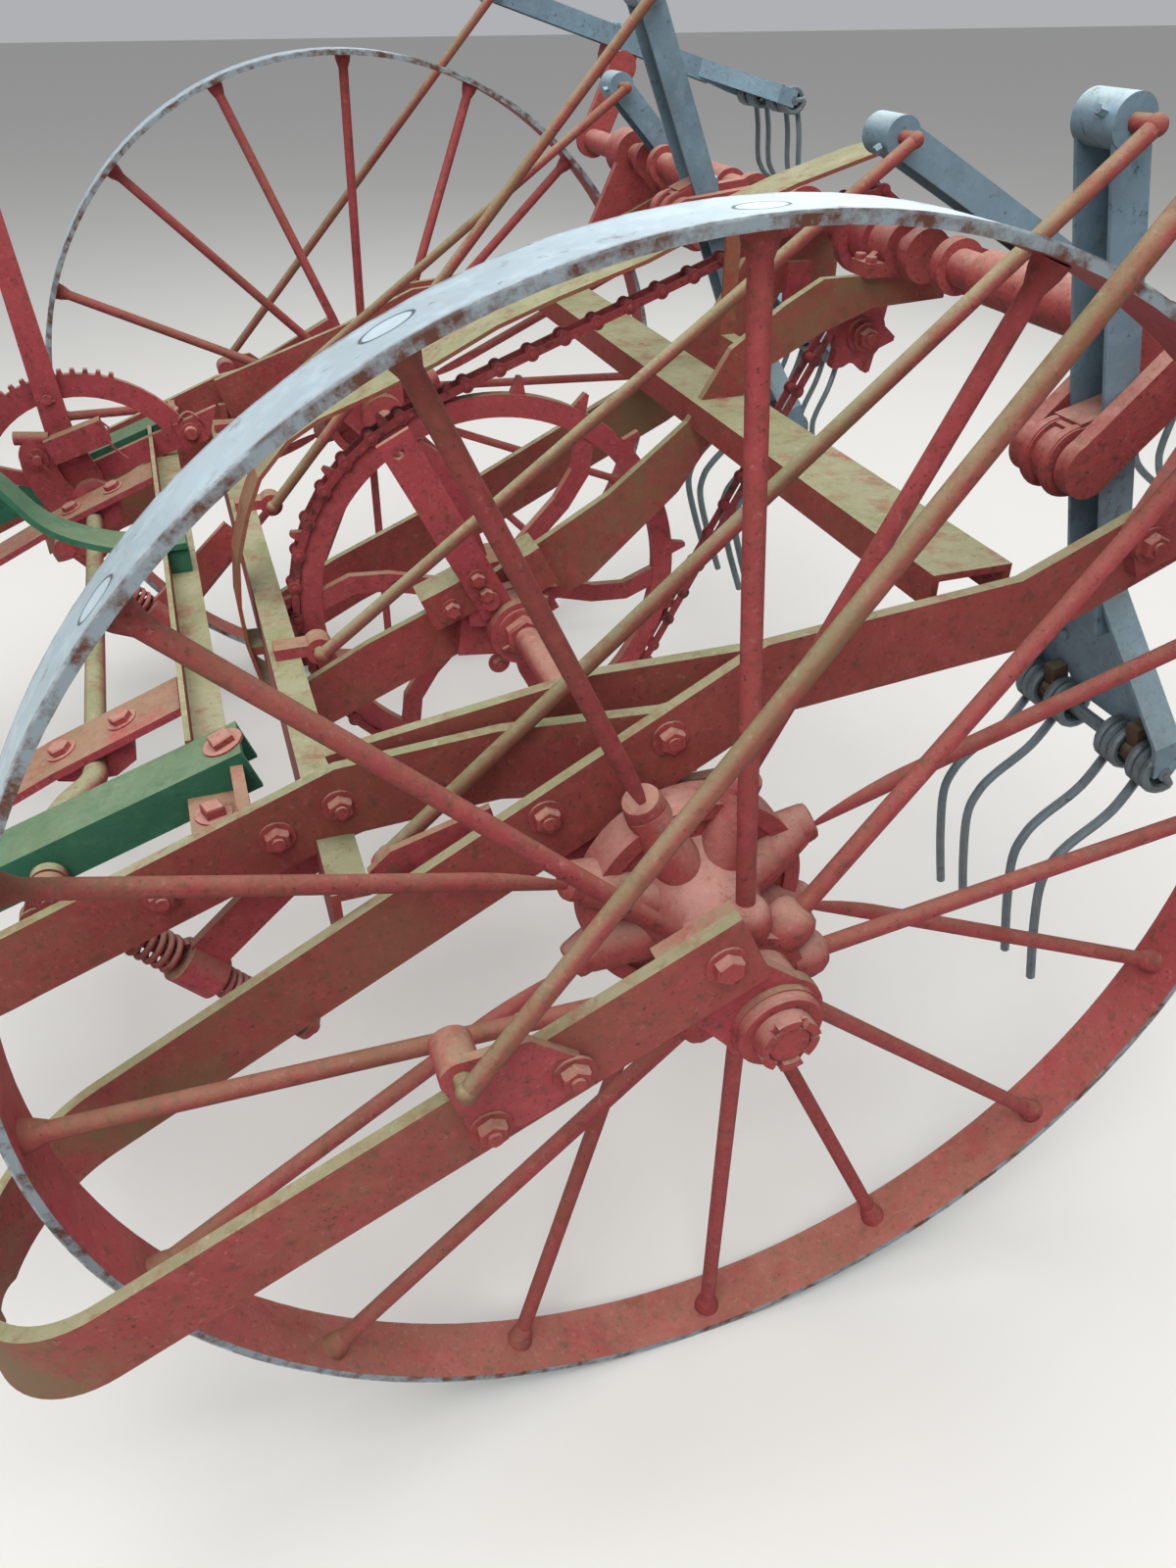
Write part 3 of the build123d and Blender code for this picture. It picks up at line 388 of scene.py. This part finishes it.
# The tread's edges are rounded by wear
for name in ("rim_left", "rim_right"):
    bevel = nodes[name].modifiers.new("worn_edge", "BEVEL")
    bevel.width, bevel.segments = 0.0022, 2
    bevel.limit_method, bevel.angle_limit = "ANGLE", math.radians(60)

# Linkage and forks, as in part.py
ROD_PIVOT, ROD_LEN = (0.268, 0.652), 0.8739
CRANK, THROW = (-0.533, 1.025), 0.1417
PIN_ALONG, PIN_OFF, TINE_ALONG = 0.2842, 0.0466, 0.64
FORKS = (
    # number, plane y, crank angle
    (1, 1.045, 76), (2, 0.654, 316), (3, 0.258, 197), (4, -0.225, 354), (5, -0.654, 235), (6, -1.045, 116),
)

# Tines: where they stand across the fork, the coil and its wire, the angle at which the wire leaves the coil,
# and the points that a tine curves through, as x and z on the fork
TINE_Y, COIL_R, WIRE_R, LEAVE = (-0.098, -0.046, 0.046, 0.098), 0.021, 0.0056, 68.0
COIL_TURNS, COIL_STEPS = 3, 16
TINE_PATH = ((0.682, 0.049), (0.704, 0.102), (0.72, 0.125), (0.75, 0.142), (0.82, 0.151), (0.905, 0.156))


def polar(angle, radius, centre=(0.0, WHEEL_R)):
    """x and z of a point round a centre, by its angle in degrees."""
    a = math.radians(angle)
    return centre[0] + radius * math.cos(a), centre[1] + radius * math.sin(a)


def smooth_path(points, parts=6):
    """A Catmull-Rom curve through the points."""
    points = [Vector(p) for p in points]
    out = []
    for i in range(len(points) - 1):
        a, b, c, d = (points[max(0, min(len(points) - 1, j))] for j in (i - 1, i, i + 1, i + 2))
        for k in range(parts):
            t = k / parts
            square, cube = 2 * a - 5 * b + 4 * c - d, 3 * b - a - 3 * c + d
            out.append(0.5 * (2 * b + (c - a) * t + square * t ** 2 + cube * t ** 3))
    return out + [points[-1]]


# Wheels: collars at the rim, the hub's bell, sockets and set bolts, and the castle nut.
# Profiles list a distance along the axis and a radius there.
TIP_R = WHEEL_R - 0.009
DRUM_FACE, CORE_END, BOSS_END = 0.8, 0.9425, 0.968
BELL = ((-0.006, 0.074), (0.004, 0.068), (0.014, 0.061), (0.03, 0.053), (0.05, 0.048), (0.086, 0.044))
OUTER_SOCKET = (
    (0.0, 0.0185), (0.008, 0.0215), (0.018, 0.0225), (0.028, 0.0205), (0.034, 0.0165), (0.0365, 0.0105),
)
INNER_SOCKET = (
    (0.002, 0.021), (0.012, 0.0205), (0.03, 0.0188), (0.0345, 0.0172), (0.036, 0.0135), (0.0365, 0.0095),
)
CONE = ((0, 0.02), (0.03, 0.0235), (0.055, 0.0215), (0.0825, 0.0195))
COLLAR = ((-0.021, 0.0085), (-0.01, 0.0125), (0.0002, 0.0145))
# Distance from the axle and along Y: where spokes start, and each cone's foot and mouth
OUTER_ROOT, INNER_ROOT = (0.042, CORE_END - 0.042), (0.098, DRUM_FACE - 0.018)
CONE_FOOT, CONE_MOUTH = (0.034, 0.811), (0.113, 0.787)
SET_BOLTS, SET_BOLT_R, SET_BOLT_Y = (55, 100, 145, 190, 235, 280, 325, 10), 0.043, 0.872
NUT_FLANGE = ((-0.001, 0.0385), (0.006, 0.0385), (0.0085, 0.036), (0.0085, 0.03))
NUT_BARREL = ((0.005, 0.0268), (0.0165, 0.0272), (0.0185, 0.0255))
# The nut's crown is chipped and worn, so its teeth stand at different heights
TOOTH_FOOT, TOOTH_TOPS = 0.983, (0.9935, 0.992, 0.993, 0.9905, 0.9932, 0.9915)
TOOTH_IN, TOOTH_OUT = 0.0196, 0.0272


def on_wheel(side, angle, radius, y):
    x, z = polar(angle, radius)
    return at(x, side * y, z)


for name, side in SIDES:
    collars, hub, nut = Shape(), Shape(), Shape()
    axis = (0, side, 0)
    hub.turned(at(0, side * DRUM_FACE, WHEEL_R), axis, BELL, 40)
    for k in range(SPOKES):
        angle = PHASE[name] + k * 360 / SPOKES
        inner = k % 2 == 1
        start = on_wheel(side, angle, *(INNER_ROOT if inner else OUTER_ROOT))
        end = on_wheel(side, angle, TIP_R, WHEEL_Y + (-SPOKE_SET_OFF if inner else SPOKE_SET_OFF))
        hub.turned(start, end - start, INNER_SOCKET if inner else OUTER_SOCKET)
        if inner:
            # A cone on the bell leads over the drum's lip to each inner socket
            foot, mouth = on_wheel(side, angle, *CONE_FOOT), on_wheel(side, angle, *CONE_MOUTH)
            hub.turned(foot, mouth - foot, CONE)
        length = (end - start).length
        collars.turned(start, end - start, [(length + d, r) for d, r in COLLAR], 14)
    collars.done(f"spoke_collars_{name}", f"wheel_{name}", "spoke")
    for angle in SET_BOLTS:
        out = (math.cos(math.radians(angle)), 0, math.sin(math.radians(angle)))
        hub.bolt(on_wheel(side, angle, SET_BOLT_R, SET_BOLT_Y), out, 0.009, 0.009, washer=False)
    hub.done(f"hub_sockets_{name}", f"wheel_{name}", "cast")

    face = at(0, side * BOSS_END, WHEEL_R)
    nut.turned(face, axis, NUT_FLANGE, 36)
    nut.turned(face, axis, NUT_BARREL, 32)
    for k, top in enumerate(TOOTH_TOPS):
        corners = ((TOOTH_IN, TOOTH_FOOT), (TOOTH_OUT, TOOTH_FOOT), (TOOTH_OUT, top), (TOOTH_IN, top))
        nut.rings([[on_wheel(side, 60 * k + 9 * j, r, y) for r, y in corners] for j in range(6)])
    nut.done(f"castle_nut_{name}", "frame", "cast")


def solve(crank_angle):
    """A fork's head and its lever's angle, from the crank's angle, by part.py's four-bar linkage."""
    pin = polar(crank_angle, THROW, CRANK)
    dx, dz = pin[0] - ROD_PIVOT[0], pin[1] - ROD_PIVOT[1]
    reach, arm = math.hypot(dx, dz), math.hypot(PIN_ALONG, PIN_OFF)
    along = (ROD_LEN ** 2 - arm ** 2 + reach ** 2) / (2 * reach)
    rise = math.sqrt(ROD_LEN ** 2 - along ** 2)
    head = (ROD_PIVOT[0] + (along * dx + rise * dz) / reach, ROD_PIVOT[1] + (along * dz - rise * dx) / reach)
    return head, math.atan2(pin[1] - head[1], pin[0] - head[0]) - math.atan2(PIN_OFF, PIN_ALONG)


def fork_frame(plane, crank_angle):
    """A call that places a point on a fork, and the fork's directions ahead, across and up."""
    head, swing = solve(crank_angle)
    c, s = math.cos(swing), math.sin(swing)

    def on_fork(x, y, z):
        return at(head[0] + x * c - z * s, plane + y, head[1] + x * s + z * c)

    return on_fork, Vector((c, 0, s)), Vector(Y), Vector((-s, 0, c))


def tine(shape, on_fork, y):
    """Close turns that end where the wire leaves the coil in a straight line, and the curved wire."""
    coil = []
    for i in range(COIL_TURNS * COIL_STEPS + 1):
        a = math.radians(LEAVE - 90 - 360 * (COIL_TURNS - i / COIL_STEPS))
        across = y + 3.1 * WIRE_R - 2.07 * WIRE_R * i / COIL_STEPS
        coil.append((TINE_ALONG + COIL_R * math.cos(a), across, COIL_R * math.sin(a)))
    curve = smooth_path([coil[-1]] + [(x, y, z) for x, z in TINE_PATH])
    shape.tube([on_fork(*p) for p in coil + curve[1:]], WIRE_R, 8)
    shape.rod(on_fork(TINE_ALONG, coil[0][1], 0), on_fork(*coil[0]), 0.0055, 10)


# Forks: cross rod, sprung coils and curved tines, grease nipples, clamps and the bearing's bolts and rings
BEARING_BEAD = ((-0.0055, 0.03), (-0.004, 0.0345), (0.0, 0.0358), (0.004, 0.0345), (0.0055, 0.03))
for number, plane, crank_angle in FORKS:
    on_fork, ahead, across, up = fork_frame(plane, crank_angle)
    tines, trim, rings, clamps = Shape(), Shape(), Shape(), Shape()
    tines.rod(on_fork(TINE_ALONG, -0.119, 0), on_fork(TINE_ALONG, 0.119, 0), 0.008)
    for y in TINE_Y:
        tine(tines, on_fork, y)
    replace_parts(tines.done(f"tine_set_{number}", "frame", "tine"), f"tines_{number}")

    trim.bolt(on_fork(-0.012, 0.012, 0.018), up * 0.8 - ahead * 0.5, 0.005, 0.008, washer=False)
    for x in (-0.022, 0.022):
        for y in (-0.011, 0.011):
            trim.bolt(on_fork(PIN_ALONG + x, y, -0.018), -up, 0.0075, 0.006, washer=False)
    for y in (-0.03, 0.03):
        # The rear pair stands wider, because the bracket flares
        for x, wider in ((0.49, 1.0), (0.56, 2.26)):
            trim.bolt(on_fork(x, y * wider, -0.013), up, 0.0065, 0.005, washer=False, sides=12)
    trim.done(f"fork_trim_{number}", "frame", "grey")
    for y in (-0.072, 0.072):
        clamps.block(on_fork(0.625, y, -0.004), ahead, across, 0.024, 0.009, 0.01)
        clamps.turned(on_fork(TINE_ALONG, y - 0.0095, 0), across, ((0, 0.0135), (0.019, 0.0135)), 18)
    clamps.done(f"tine_clamps_{number}", "frame", "rusty")
    for y in (-0.015, 0.015):
        rings.turned(on_fork(PIN_ALONG, y, PIN_OFF), across, BEARING_BEAD, 32)
    rings.block(on_fork(PIN_ALONG - 0.012, 0, 0.012), up, across, 0.028, 0.0195, 0.024)
    rings.done(f"bearing_rings_{number}", "frame", "cast")


# Chain: a round eye and a pin head at each end of every barrel.
# Only the barrels reach the chain's full width.
CHAIN_Y, CHAIN_HALF = 0.0875, 0.014
EYE = ((0.0, 0.009), (0.0045, 0.009), (0.0055, 0.008))
PIN_HEAD = ((0.004, 0.0052), (0.0068, 0.005), (0.0076, 0.0036))
ends = []
chain = nodes["drive_chain"]
for v in chain.data.vertices:
    place = chain.matrix_world @ v.co
    if place.y > CHAIN_Y + CHAIN_HALF - 0.0003:
        near = [group for group in ends if (group[0] - place).length < 0.015]
        if near:
            near[0].append(place)
        else:
            ends.append([place])
eyes = Shape()
for group in ends:
    low = Vector(min(p[i] for p in group) for i in range(3))
    high = Vector(max(p[i] for p in group) for i in range(3))
    middle = (low + high) / 2
    for side in (1, -1):
        place = Vector((middle.x, CHAIN_Y + side * 0.009, middle.z))
        eyes.turned(place, (0, side, 0), EYE, 16)
        eyes.turned(place, (0, side, 0), PIN_HEAD, 12)
eyes.done("chain_eyes", "frame", "chain")

# Depth lever: the curved arm on the tube, the latch plate with its bolt, pins and wires
LEVER_FACE, LEVER_ARM_HALF = -0.437, 0.026
lever = Shape()
arm_line = smooth_path([(0.598, LEVER_FACE, 0.684), (0.597, LEVER_FACE, 0.657), (0.585, LEVER_FACE, 0.622),
                        (0.562, LEVER_FACE, 0.592), (0.53, LEVER_FACE, 0.578)], 5)
outline = []
for turn in (1, -1):
    row = []
    for i, p in enumerate(arm_line):
        ahead = (arm_line[min(i + 1, len(arm_line) - 1)] - arm_line[max(i - 1, 0)]).normalized()
        row.append((p.x - turn * LEVER_ARM_HALF * ahead.z, p.z + turn * LEVER_ARM_HALF * ahead.x))
    outline += row if turn > 0 else row[::-1]
lever.plate(outline, LEVER_FACE - 0.001, LEVER_FACE + 0.009)
lever.turned(at(0.598, LEVER_FACE - 0.001, 0.684), Y, ((0, 0.0262), (0.0108, 0.0262)))
lever.turned(at(0.53, LEVER_FACE - 0.001, 0.606), Y, ((0, 0.032), (0.0115, 0.032), (0.013, 0.03)))
grip_pin = ((0, 0.017), (0.003, 0.017), (0.0031, 0.0075), (0.012, 0.007))
lever.turned(at(0.598, LEVER_FACE + 0.009, 0.68), Y, grip_pin)
lever.rod(at(0.606, LEVER_FACE + 0.017, 0.692), at(0.584, LEVER_FACE + 0.017, 0.66), 0.002, 8)
lever.block(at(0.533, LEVER_FACE + 0.012, 0.704), (-0.96, 0, 0.28), Y, 0.046, 0.013, 0.019)
lever.bolt(at(0.547, LEVER_FACE + 0.004, 0.677), Y, 0.009, 0.01, washer=False, sides=14)
lever.rod(at(0.625, LEVER_FACE - 0.004, 0.712), at(0.574, LEVER_FACE + 0.002, 0.708), 0.0105, 18)
split = [(0.565, 0.79), (0.56, 0.775), (0.568, 0.768), (0.561, 0.76), (0.552, 0.766)]
lever.tube([at(x, LEVER_FACE + 0.003, z) for x, z in split], 0.002, 8)
lever.turned(at(0.562, LEVER_FACE - 0.001, 0.768), Y, ((0, 0.007), (0.007, 0.007)))
wire = ((0.492, 0.735), (0.482, 0.722), (0.488, 0.708), (0.48, 0.69), (0.464, 0.672))
lever.tube(smooth_path([at(x, LEVER_FACE + 0.028, z) for x, z in wire]), 0.0017, 8)
loop_wire = []
for i in range(20):
    a = 2 * math.pi * i / 20
    x, z = polar(18 * i, 0.017, (0.361, 0.705))
    loop_wire.append(at(x, -0.452 + 0.004 * math.sin(3 * a), z))
lever.tube(loop_wire, 0.0022, 8, closed=True)
lever.block(at(0.361, -0.452, 0.691), (1, 0, -0.32), Y, 0.021, 0.003, 0.021)
lever.done("lever_trim", "frame", "red")

# Centre bearing: nut on the axle, bolts of the clutch lever, clamp blocks on the near arm
bearing = Shape()
bearing.turned(at(0, 0.235, 0.6), Y, ((0.0, 0.036), (0.0035, 0.036), (0.0045, 0.034)), 32)
bearing.bolt(at(0, 0.2385, 0.6), Y, 0.0285, 0.016, washer=False)
bearing.rod(at(-0.03, 0.249, 0.612), at(0.032, 0.249, 0.588), 0.0025, 8)
bearing.turned(at(0, 0.175, 0.6), Y, ((0.0, 0.044), (0.006, 0.05), (0.012, 0.05), (0.018, 0.046)), 36)
for x, z in ((0.055, 0.679), (0.045, 0.657)):
    bearing.bolt(at(x, 0.2215, z), Y, 0.0095, 0.009)
bearing.bolt(at(0.089, 0.216, 0.64), Y, 0.0105, 0.009)
bearing.bolt(at(-0.03, 0.216, 0.636), Y, 0.0095, 0.009, stub=0.006)
bearing.done("bearing_trim", "frame", "cast")
blocks = Shape()
blocks.block(at(0.092, 0.193, 0.645), (0.93, 0, -0.36), Y, 0.03, 0.024, 0.024)
blocks.block(at(-0.018, 0.2, 0.676), (-0.9, 0, 0.44), Y, 0.024, 0.026, 0.028)
blocks.block(at(-0.03, 0.196, 0.64), (0.44, 0, 0.9), Y, 0.03, 0.02, 0.014)
blocks.done("bearing_blocks", "frame", "mossy")

# Seat's leaf spring, with the bends drawn smooth
LEAF_LINE = (
    (0.396, 0.694), (0.43, 0.694), (0.487, 0.7), (0.556, 0.734), (0.598, 0.791),
    (0.655, 0.87), (0.715, 0.95), (0.78, 0.992), (0.86, 0.996),
)
LEAF_HALF, LEAF_THICK_HALF = 0.03, 0.004
leaf = smooth_path([at(x, 0, z) for x, z in LEAF_LINE])
sections = []
for i, p in enumerate(leaf):
    ahead = (leaf[min(i + 1, len(leaf) - 1)] - leaf[max(i - 1, 0)]).normalized()
    up = Vector((-ahead.z, 0, ahead.x)) * LEAF_THICK_HALF
    corners = ((-1, -1), (-1, 1), (1, 1), (1, -1))
    sections.append([p + up * a + Vector((0, LEAF_HALF * b, 0)) for a, b in corners])
leaf_shape = Shape()
leaf_shape.rings(sections)
leaf_shape.block(at(0.4085, 0, 0.6725), (1, 0, 0), Y, 0.0135, 0.024, 0.0175)
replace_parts(leaf_shape.done("seat_leaf", "frame", "green"), "seat_spring")

# Second spring rod, on the lift tube near the middle
SECOND_Y = -0.235


def down_rod(distance):
    return at(0.571 - 0.6364 * distance, SECOND_Y, 0.609 - 0.7716 * distance)


spring = Shape()
spring.turned(at(0.53, SECOND_Y - 0.012, 0.606), Y, ((0, 0.02), (0.024, 0.02)))
spring.block(at(0.5505, SECOND_Y, 0.6075), (1, 0, 0.07), Y, 0.024, 0.006, 0.014)
spring.turned(at(0.571, SECOND_Y - 0.01, 0.609), Y, ((0, 0.015), (0.02, 0.015)))
spring.rod(down_rod(0.0), down_rod(0.24), 0.007)
spring.helix(down_rod(0.066), down_rod(0.146), 0.0166, 0.0034, 8)
spring.helix(down_rod(0.2), down_rod(0.226), 0.0142, 0.003, 3)
for distance in (0.06, 0.149, 0.194, 0.227):
    spring.rod(down_rod(distance), down_rod(distance + 0.004), 0.02)
spring.rod(down_rod(0.15), down_rod(0.196), 0.022)
spring.block(at(0.389, SECOND_Y, 0.5445), (0.126, 0, -0.111), Y, 0.084, 0.006, 0.021)
spring.done("second_spring_rod", "frame", "cast")


# Bolts and nuts: place from the axle, the way they face, radius and height
bolts = Shape()
for side in (1, -1):
    out = (0, side, 0)
    # Loop's outer leg: the rod bracket's pair, and the one above the axle
    for x, z in ((0.182, 0.626), (0.249, 0.590)):
        bolts.bolt(at(x, side * 0.9815, z), out, 0.013, 0.009, stub=0.003)
    bolts.bolt(at(0.056, side * 0.9735, 0.692), out, 0.013, 0.009)
    # Loop's inner leg: the axle plate's
    for x, z in ((0.131, 0.696), (0.014, 0.755)):
        bolts.bolt(at(x, side * 0.7535, z), out, 0.013, 0.009, stub=0.002)
    # Strap bars, shafts and their shoes
    for x in (0.494, 0.562):
        bolts.bolt(at(x, side * 0.365, 0.62804 - 0.379 * (x - 0.53)), (0.35, 0, 1), 0.0125, 0.008)
    bolts.bolt(at(0.392, side * 0.54, 0.69833), (0.32, 0, 1), 0.015, 0.008, sides=4)
    bolts.bolt(at(0.412, side * 0.605, 0.662), Z, 0.013, 0.01, sides=4)
    # Loop's inner leg: those by the front bars, and the crank bearing's
    for x in (0.30, 0.36, 0.47):
        bolts.bolt(at(x, side * 0.656, 0.722 - (x - 0.3) * 0.366 - 0.04), out, 0.0125, 0.009, stub=0.003)
    for x, z in ((-0.455, 0.878), (-0.56, 0.925), (-0.52, 0.94)):
        bolts.bolt(at(x, side * 0.769, z), out, 0.013, 0.009, stub=0.003)
bolts.bolt(at(0.025, 0.196, 0.54), Y, 0.011, 0.009, stub=0.004)
for y in (0.17, -0.11):
    # Centre arms: the bearing caps' bolts, and one at each end of the arm
    for x in (-0.484, -0.582):
        for dy in (-0.013, 0.013):
            bolts.bolt(at(x, y + dy, 1.012), Z, 0.008, 0.007, washer=False)
    for x, z in ((0.305, 0.5), (-0.29, 0.845)):
        bolts.bolt(at(x, y + 0.006, z), Y, 0.012, 0.009)
# Idler, spring rod and quadrant
bolts.bolt(at(-0.537, 0.1115, 0.9), Y, 0.014, 0.01, stub=0.004)
bolts.bolt(at(0.571, 0.608, 0.609), Y, 0.011, 0.008, stub=0.003)
bolts.bolt(at(0.361, -0.449, 0.691), Y, 0.011, 0.009, sides=14)
bolts.done("bolts", "frame", "cast")


# Stage, light and camera
bpy.ops.mesh.primitive_plane_add(size=60.0, location=(0, 0, 0))
floor = bpy.context.object
floor.name = "floor"
plain = bpy.data.materials.new("floor")
plain.use_nodes = True
plain_shader = plain.node_tree.nodes["Principled BSDF"]
plain_shader.inputs["Base Color"].default_value = (0.62, 0.61, 0.58, 1.0)
plain_shader.inputs["Roughness"].default_value = 0.9
floor.data.materials.append(plain)

world = bpy.data.worlds.new("studio")
bpy.context.scene.world = world
world.use_nodes = True
world.node_tree.nodes["Background"].inputs["Color"].default_value = (0.78, 0.8, 0.83, 1.0)
world.node_tree.nodes["Background"].inputs["Strength"].default_value = 0.55


def area(name, place, aim, size, power):
    data = bpy.data.lights.new(name, "AREA")
    data.size = size
    data.energy = power
    obj = bpy.data.objects.new(name, data)
    bpy.context.collection.objects.link(obj)
    obj.location = place
    obj.rotation_euler = (Vector(aim) - Vector(place)).to_track_quat("-Z", "Y").to_euler()


area("sky", (-0.4, 0.6, 5.5), (-0.4, 0.2, 0.6), 5.0, 290.0)
area("key", (1.5, 3.5, 4.5), (0, 0, 0.6), 3.0, 170.0)
area("fill", (-3.5, -2.5, 3.5), (0, 0, 0.6), 3.5, 60.0)

# The camera fitted to the photo: focal length and height in pixels, its place from the axle, its three axes
FOCAL_PX, PHOTO_PX, SENSOR = 1183.54, 1600, 36.0
CAMERA_AT = (0.36907, 1.54748, 1.31453)
RIGHT = Vector((-0.94414638, 0.32952478, 0.00101385))
DOWN = Vector((0.18885831, 0.54362838, -0.81780237))
AHEAD = Vector((-0.2700373, -0.77193368, -0.57549826))
cam = bpy.data.cameras.new("camera")
cam.sensor_fit = "VERTICAL"
cam.sensor_height = SENSOR
cam.lens = FOCAL_PX / PHOTO_PX * SENSOR
camera = bpy.data.objects.new("camera", cam)
bpy.context.collection.objects.link(camera)
turn = Matrix((RIGHT, -DOWN, -AHEAD)).transposed().to_4x4()
camera.matrix_world = Matrix.Translation(at(*CAMERA_AT)) @ turn
bpy.context.scene.camera = camera
bpy.context.scene.view_settings.view_transform = "Standard"
